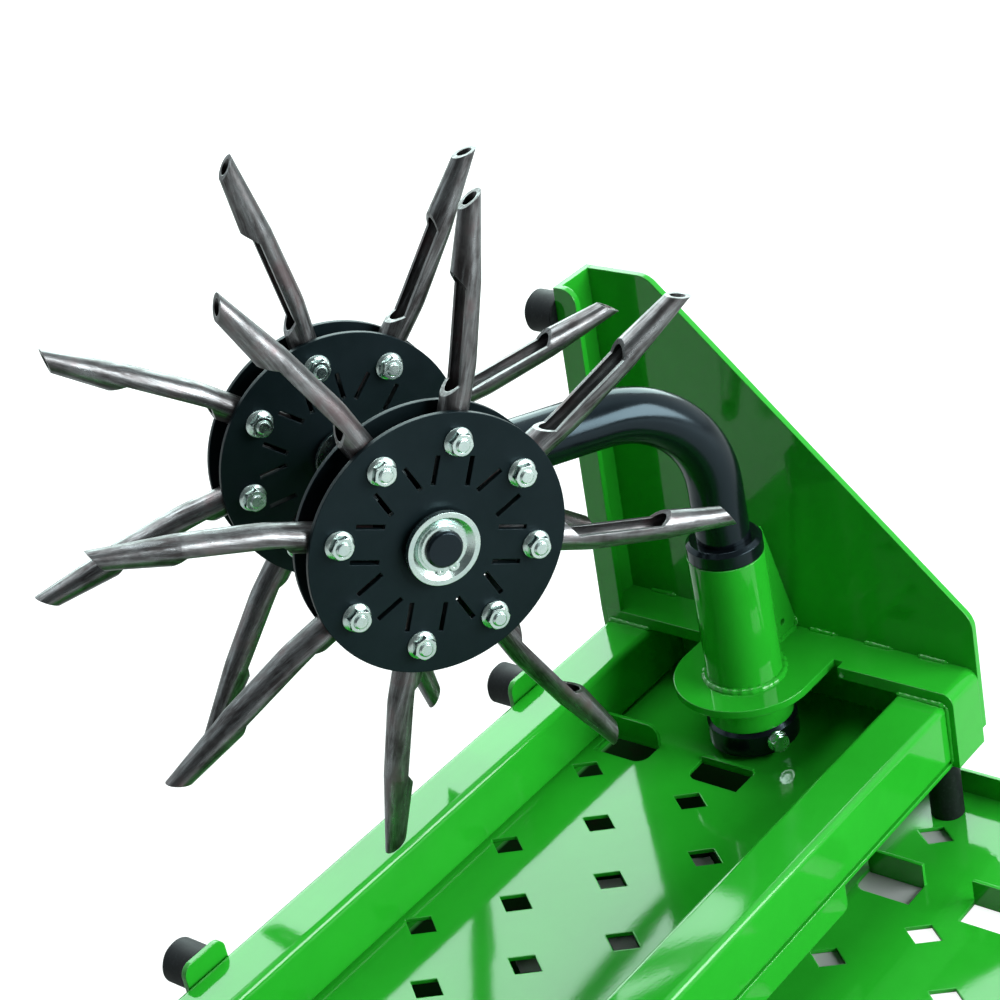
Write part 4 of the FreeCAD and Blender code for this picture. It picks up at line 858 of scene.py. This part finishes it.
# %% Rubber
rubber, tree, shader = new_finish("matt_rubber", IOR=1.45, Specular_IOR_Level=0.3)
tone = place_group(tree, tone_group, scale=45.0, contrast=1.2)
edges = place_group(tree, edge_group, radius=0.0015)
grain = place_group(tree, peel_group, scale=1800.0)
body_colour = blend_colours(tree, tone.outputs["Tone"], (0.004, 0.005, 0.006), (0.007, 0.009, 0.011))
bloom_share = times(tree, tone.outputs["Grime"], 0.4)
bloom = blend_colours(tree, bloom_share, body_colour, (0.030, 0.034, 0.037))
gloss = remap(tree, tone.outputs["Tone"], 0.0, 1.0, 0.48, 0.66)
grained = bumps(tree, 0.3, 0.0001, grain.outputs[0], normal=edges.outputs["Normal"])
connect(tree, shader, base_color=bloom, roughness=gloss, normal=grained)
print("finish:", rubber.name)

# %% Bush bronze
bush_bronze, tree, shader = new_finish("turned_bronze", Metallic=1.0)
where = tree.nodes.new("ShaderNodeTexCoord").outputs["Object"]
part = add_node(tree, "ShaderNodeSeparateXYZ", None, vector=where)
rings_of_lathe = arithmetic(tree, "SINE", times(tree, part.outputs["Z"], 12000.0))
tone = place_group(tree, tone_group, scale=50.0, contrast=1.0)
metal = blend_colours(tree, tone.outputs["Tone"], (0.36, 0.22, 0.08), (0.52, 0.36, 0.16))
gloss = remap(tree, tone.outputs["Tone"], 0.0, 1.0, 0.25, 0.42)
lined = bumps(tree, 0.2, 0.00005, rings_of_lathe)
connect(tree, shader, base_color=metal, roughness=gloss, normal=lined)
print("finish:", bush_bronze.name)

# %% [markdown]
# Each CAD node names its slot in the record, and each added piece was given one.  The slot decides
# the finish.  Only the tray, the discs and the tines differ inside their slots.

# %% Give every piece its finish
finish_of_slot = {"green_paint": green_paint, "black_paint": arm_black, "zinc_plate": zinc_plate,
                  "rubber": rubber, "bush_bronze": bush_bronze}
slot_of_node = {part["node"]: part["material_slot"] for part in frame["record"]["subparts"]}


def finish_for(name, slot):
    """The slot's finish, or its own for the tray, a wheel's tines and a wheel's discs."""
    if name == "tray":
        return tray_green
    if slot == "tine_steel":
        return tine_steel[name.split("_wheel")[0] + "_wheel"]
    if slot == "black_paint" and "_wheel_" in name:
        return disc_black
    return finish_of_slot[slot]


pieces = [thing for thing in bpy.context.scene.objects if thing.type == "MESH"]
for piece in pieces:
    slot = slot_of_node.get(piece.name) or piece["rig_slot"]
    piece.data.materials.clear()
    piece.data.materials.append(finish_for(piece.name, slot))
print("finished pieces:", len(pieces))

# %% [markdown]
# ## Floor, light and camera
#
# The floor is a wide pale sheet.  Its material adds white of its own where the camera sees it, and a
# fifth of that in reflections, so that it reads as a white studio floor while the object's shadow still
# shows.  Under the deck no light arrives, so there the floor gets no white either.  Far from the object,
# past its shadow and beyond the lamps, the floor's own white takes over.

# %% Floor
FLOOR_REACH, FLOOR_DROP = 9.0, 0.4 * MM
FLOOR_GREY, FLOOR_GLOW, IN_REFLECTIONS = 0.42, 0.8, 0.2
SHADE_LEFT, SHADE_RIGHT, SHADE_FADE = beam_left - 0.03, 0.05, 0.01
SHADE_FRONT, SHADE_BACK = -0.17, 0.26
SHADOW_REACH, ALL_WHITE = 1.1, 2.0
corner = np.array([-FLOOR_REACH, FLOOR_REACH])
floor_x, floor_y = np.meshgrid(corner, corner, indexing="ij")
floor_points = np.stack([floor_x, floor_y, 0 * floor_x - FLOOR_DROP], axis=-1)
floor_mesh = bpy.data.meshes.new("floor")
floor_mesh.from_pydata(floor_points.reshape(-1, 3).tolist(), [], [(0, 2, 3, 1)])
floor = bpy.data.objects.new("floor", floor_mesh)
bpy.context.scene.collection.objects.link(floor)
floor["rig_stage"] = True


def seen_directly(tree, in_mirrors):
    """One where the ray comes from the camera or a clear body, and in_mirrors where a gloss shows it."""
    path = tree.nodes.new("ShaderNodeLightPath")
    mirrored = times(tree, path.outputs["Is Glossy Ray"], in_mirrors)
    first = arithmetic(tree, "MAXIMUM", path.outputs["Is Camera Ray"], mirrored)
    return arithmetic(tree, "MAXIMUM", first, path.outputs["Is Transmission Ray"])


floor_material = bpy.data.materials.new("pale_floor")
floor_material.use_nodes = True
tree = floor_material.node_tree
tree.nodes.clear()
matt = add_node(tree, "ShaderNodeBsdfDiffuse", None, color=(FLOOR_GREY, FLOOR_GREY, FLOOR_GREY, 1))
where = tree.nodes.new("ShaderNodeTexCoord").outputs["Object"]
part = add_node(tree, "ShaderNodeSeparateXYZ", None, vector=where)
under_deck = []
for axis, low, high in (("X", SHADE_LEFT, SHADE_RIGHT), ("Y", SHADE_FRONT, SHADE_BACK)):
    half = (high - low) / 2
    away = arithmetic(tree, "ABSOLUTE", arithmetic(tree, "SUBTRACT", part.outputs[axis], (low + high) / 2))
    under_deck.append(remap(tree, away, half - SHADE_FADE, half, 1.0, 0.0))
open_floor = arithmetic(tree, "SUBTRACT", 1.0, times(tree, *under_deck))
distance = add_node(tree, "ShaderNodeVectorMath", {"operation": "LENGTH"}, i0=where)
white = remap(tree, distance.outputs["Value"], SHADOW_REACH, ALL_WHITE, FLOOR_GLOW, 1.0)
seen = seen_directly(tree, IN_REFLECTIONS)
glow = add_node(tree, "ShaderNodeEmission", None, strength=times(tree, times(tree, seen, open_floor), white))
total = add_node(tree, "ShaderNodeAddShader", None, i0=matt.outputs[0], i1=glow.outputs[0])
add_node(tree, "ShaderNodeOutputMaterial", None, i0=total.outputs[0])
floor_mesh.materials.append(floor_material)
print("floor:", FLOOR_REACH * 2, "metres wide")

# %% [markdown]
# The main light is a large soft panel at the front right.  A wide panel behind the part lights its level
# faces, which mirror it, and a third hangs above.  The room is white behind the part and dim on the
# camera's side, as a studio is, so dark glossy paint stays dark where it faces the camera.

# %% Lights
LAMP_COLOUR, SEA_COLOUR = (0.92, 0.99, 1.0), (0.80, 1.0, 0.95)


def soft_panel(name, place, aim, width, height, brightness, colour):
    """A lit rectangle; its power is its brightness times its area times pi."""
    data = bpy.data.lights.new(name, "AREA")
    data.shape, data.size, data.size_y = "RECTANGLE", width, height
    data.energy = brightness * width * height * math.pi
    data.color = colour
    panel = bpy.data.objects.new(name, data)
    bpy.context.scene.collection.objects.link(panel)
    panel.location = place
    panel.rotation_euler = (Vector(aim) - Vector(place)).to_track_quat("-Z", "Y").to_euler()
    print(name, "power", round(data.energy, 1))


middle_of_part = (-0.15, 0.0, 0.2)
soft_panel("front_panel", (0.66, -2.6, 1.25), middle_of_part, 2.2, 1.6, 10.9, LAMP_COLOUR)
soft_panel("back_panel", (2.2, 2.0, 1.6), middle_of_part, 4.2, 2.4, 4.9, SEA_COLOUR)
soft_panel("top_panel", (0.15, 0.6, 2.75), middle_of_part, 1.5, 2.2, 4.4, LAMP_COLOUR)

world = bpy.data.worlds.new("studio")
bpy.context.scene.world = world
world.use_nodes = True
tree = world.node_tree
AMBIENT, DIM_ROOM, WHITE = 0.065, 0.05, 1.0
DIM_UNTIL, WHITE_FROM = -0.35, 0.25
TOWARDS_BACKDROP = (0.66, 0.72, 0.22)
COOL = (0.86, 0.98, 1.0)
camera_sees = tree.nodes.new("ShaderNodeLightPath").outputs["Is Camera Ray"]
tree.links.new(blend_colours(tree, camera_sees, COOL, (1, 1, 1)), tree.nodes["Background"].inputs["Color"])
way = tree.nodes.new("ShaderNodeTexCoord").outputs["Generated"]
facing = add_node(tree, "ShaderNodeVectorMath", {"operation": "DOT_PRODUCT"}, i0=way, i1=TOWARDS_BACKDROP)
in_mirrors = remap(tree, facing.outputs["Value"], DIM_UNTIL, WHITE_FROM, DIM_ROOM, WHITE)
level = remap(tree, seen_directly(tree, in_mirrors), 0.0, 1.0, AMBIENT, WHITE)
tree.links.new(level, tree.nodes["Background"].inputs["Strength"])

# %% [markdown]
# The camera looks down on the near wheel from the front left, tilted a little, through a long lens.
# Its place is given as a point to look at, two angles, a distance and a tilt.

# %% Camera
LOOK_AT = Vector((-0.1081, 0.1062, 0.3046))
AZIMUTH, ELEVATION, TILT = math.radians(-45.75), math.radians(28.71), math.radians(-12.0)
DISTANCE, LENS, SENSOR = 1.75, 89.45, 36.0
back = Vector((math.sin(AZIMUTH) * math.cos(ELEVATION), -math.cos(AZIMUTH) * math.cos(ELEVATION),
               math.sin(ELEVATION)))
level_right = (-back).cross(Vector((0, 0, 1))).normalized()
level_up = level_right.cross(-back)
right = level_right * math.cos(TILT) + level_up * math.sin(TILT)
camera_up = back.cross(right)
camera_data = bpy.data.cameras.new("camera")
camera_data.lens, camera_data.sensor_width = LENS, SENSOR
camera_data.clip_start, camera_data.clip_end = 0.05, 50.0
camera = bpy.data.objects.new("camera", camera_data)
bpy.context.scene.collection.objects.link(camera)
camera.matrix_world = Matrix((right, camera_up, back)).transposed().to_4x4()
camera.location = LOOK_AT + back * DISTANCE
bpy.context.scene.camera = camera
bpy.context.scene.view_settings.view_transform = "Standard"
print("camera at", [round(v, 3) for v in camera.location])

# %% Sizes of the scene
low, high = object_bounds()
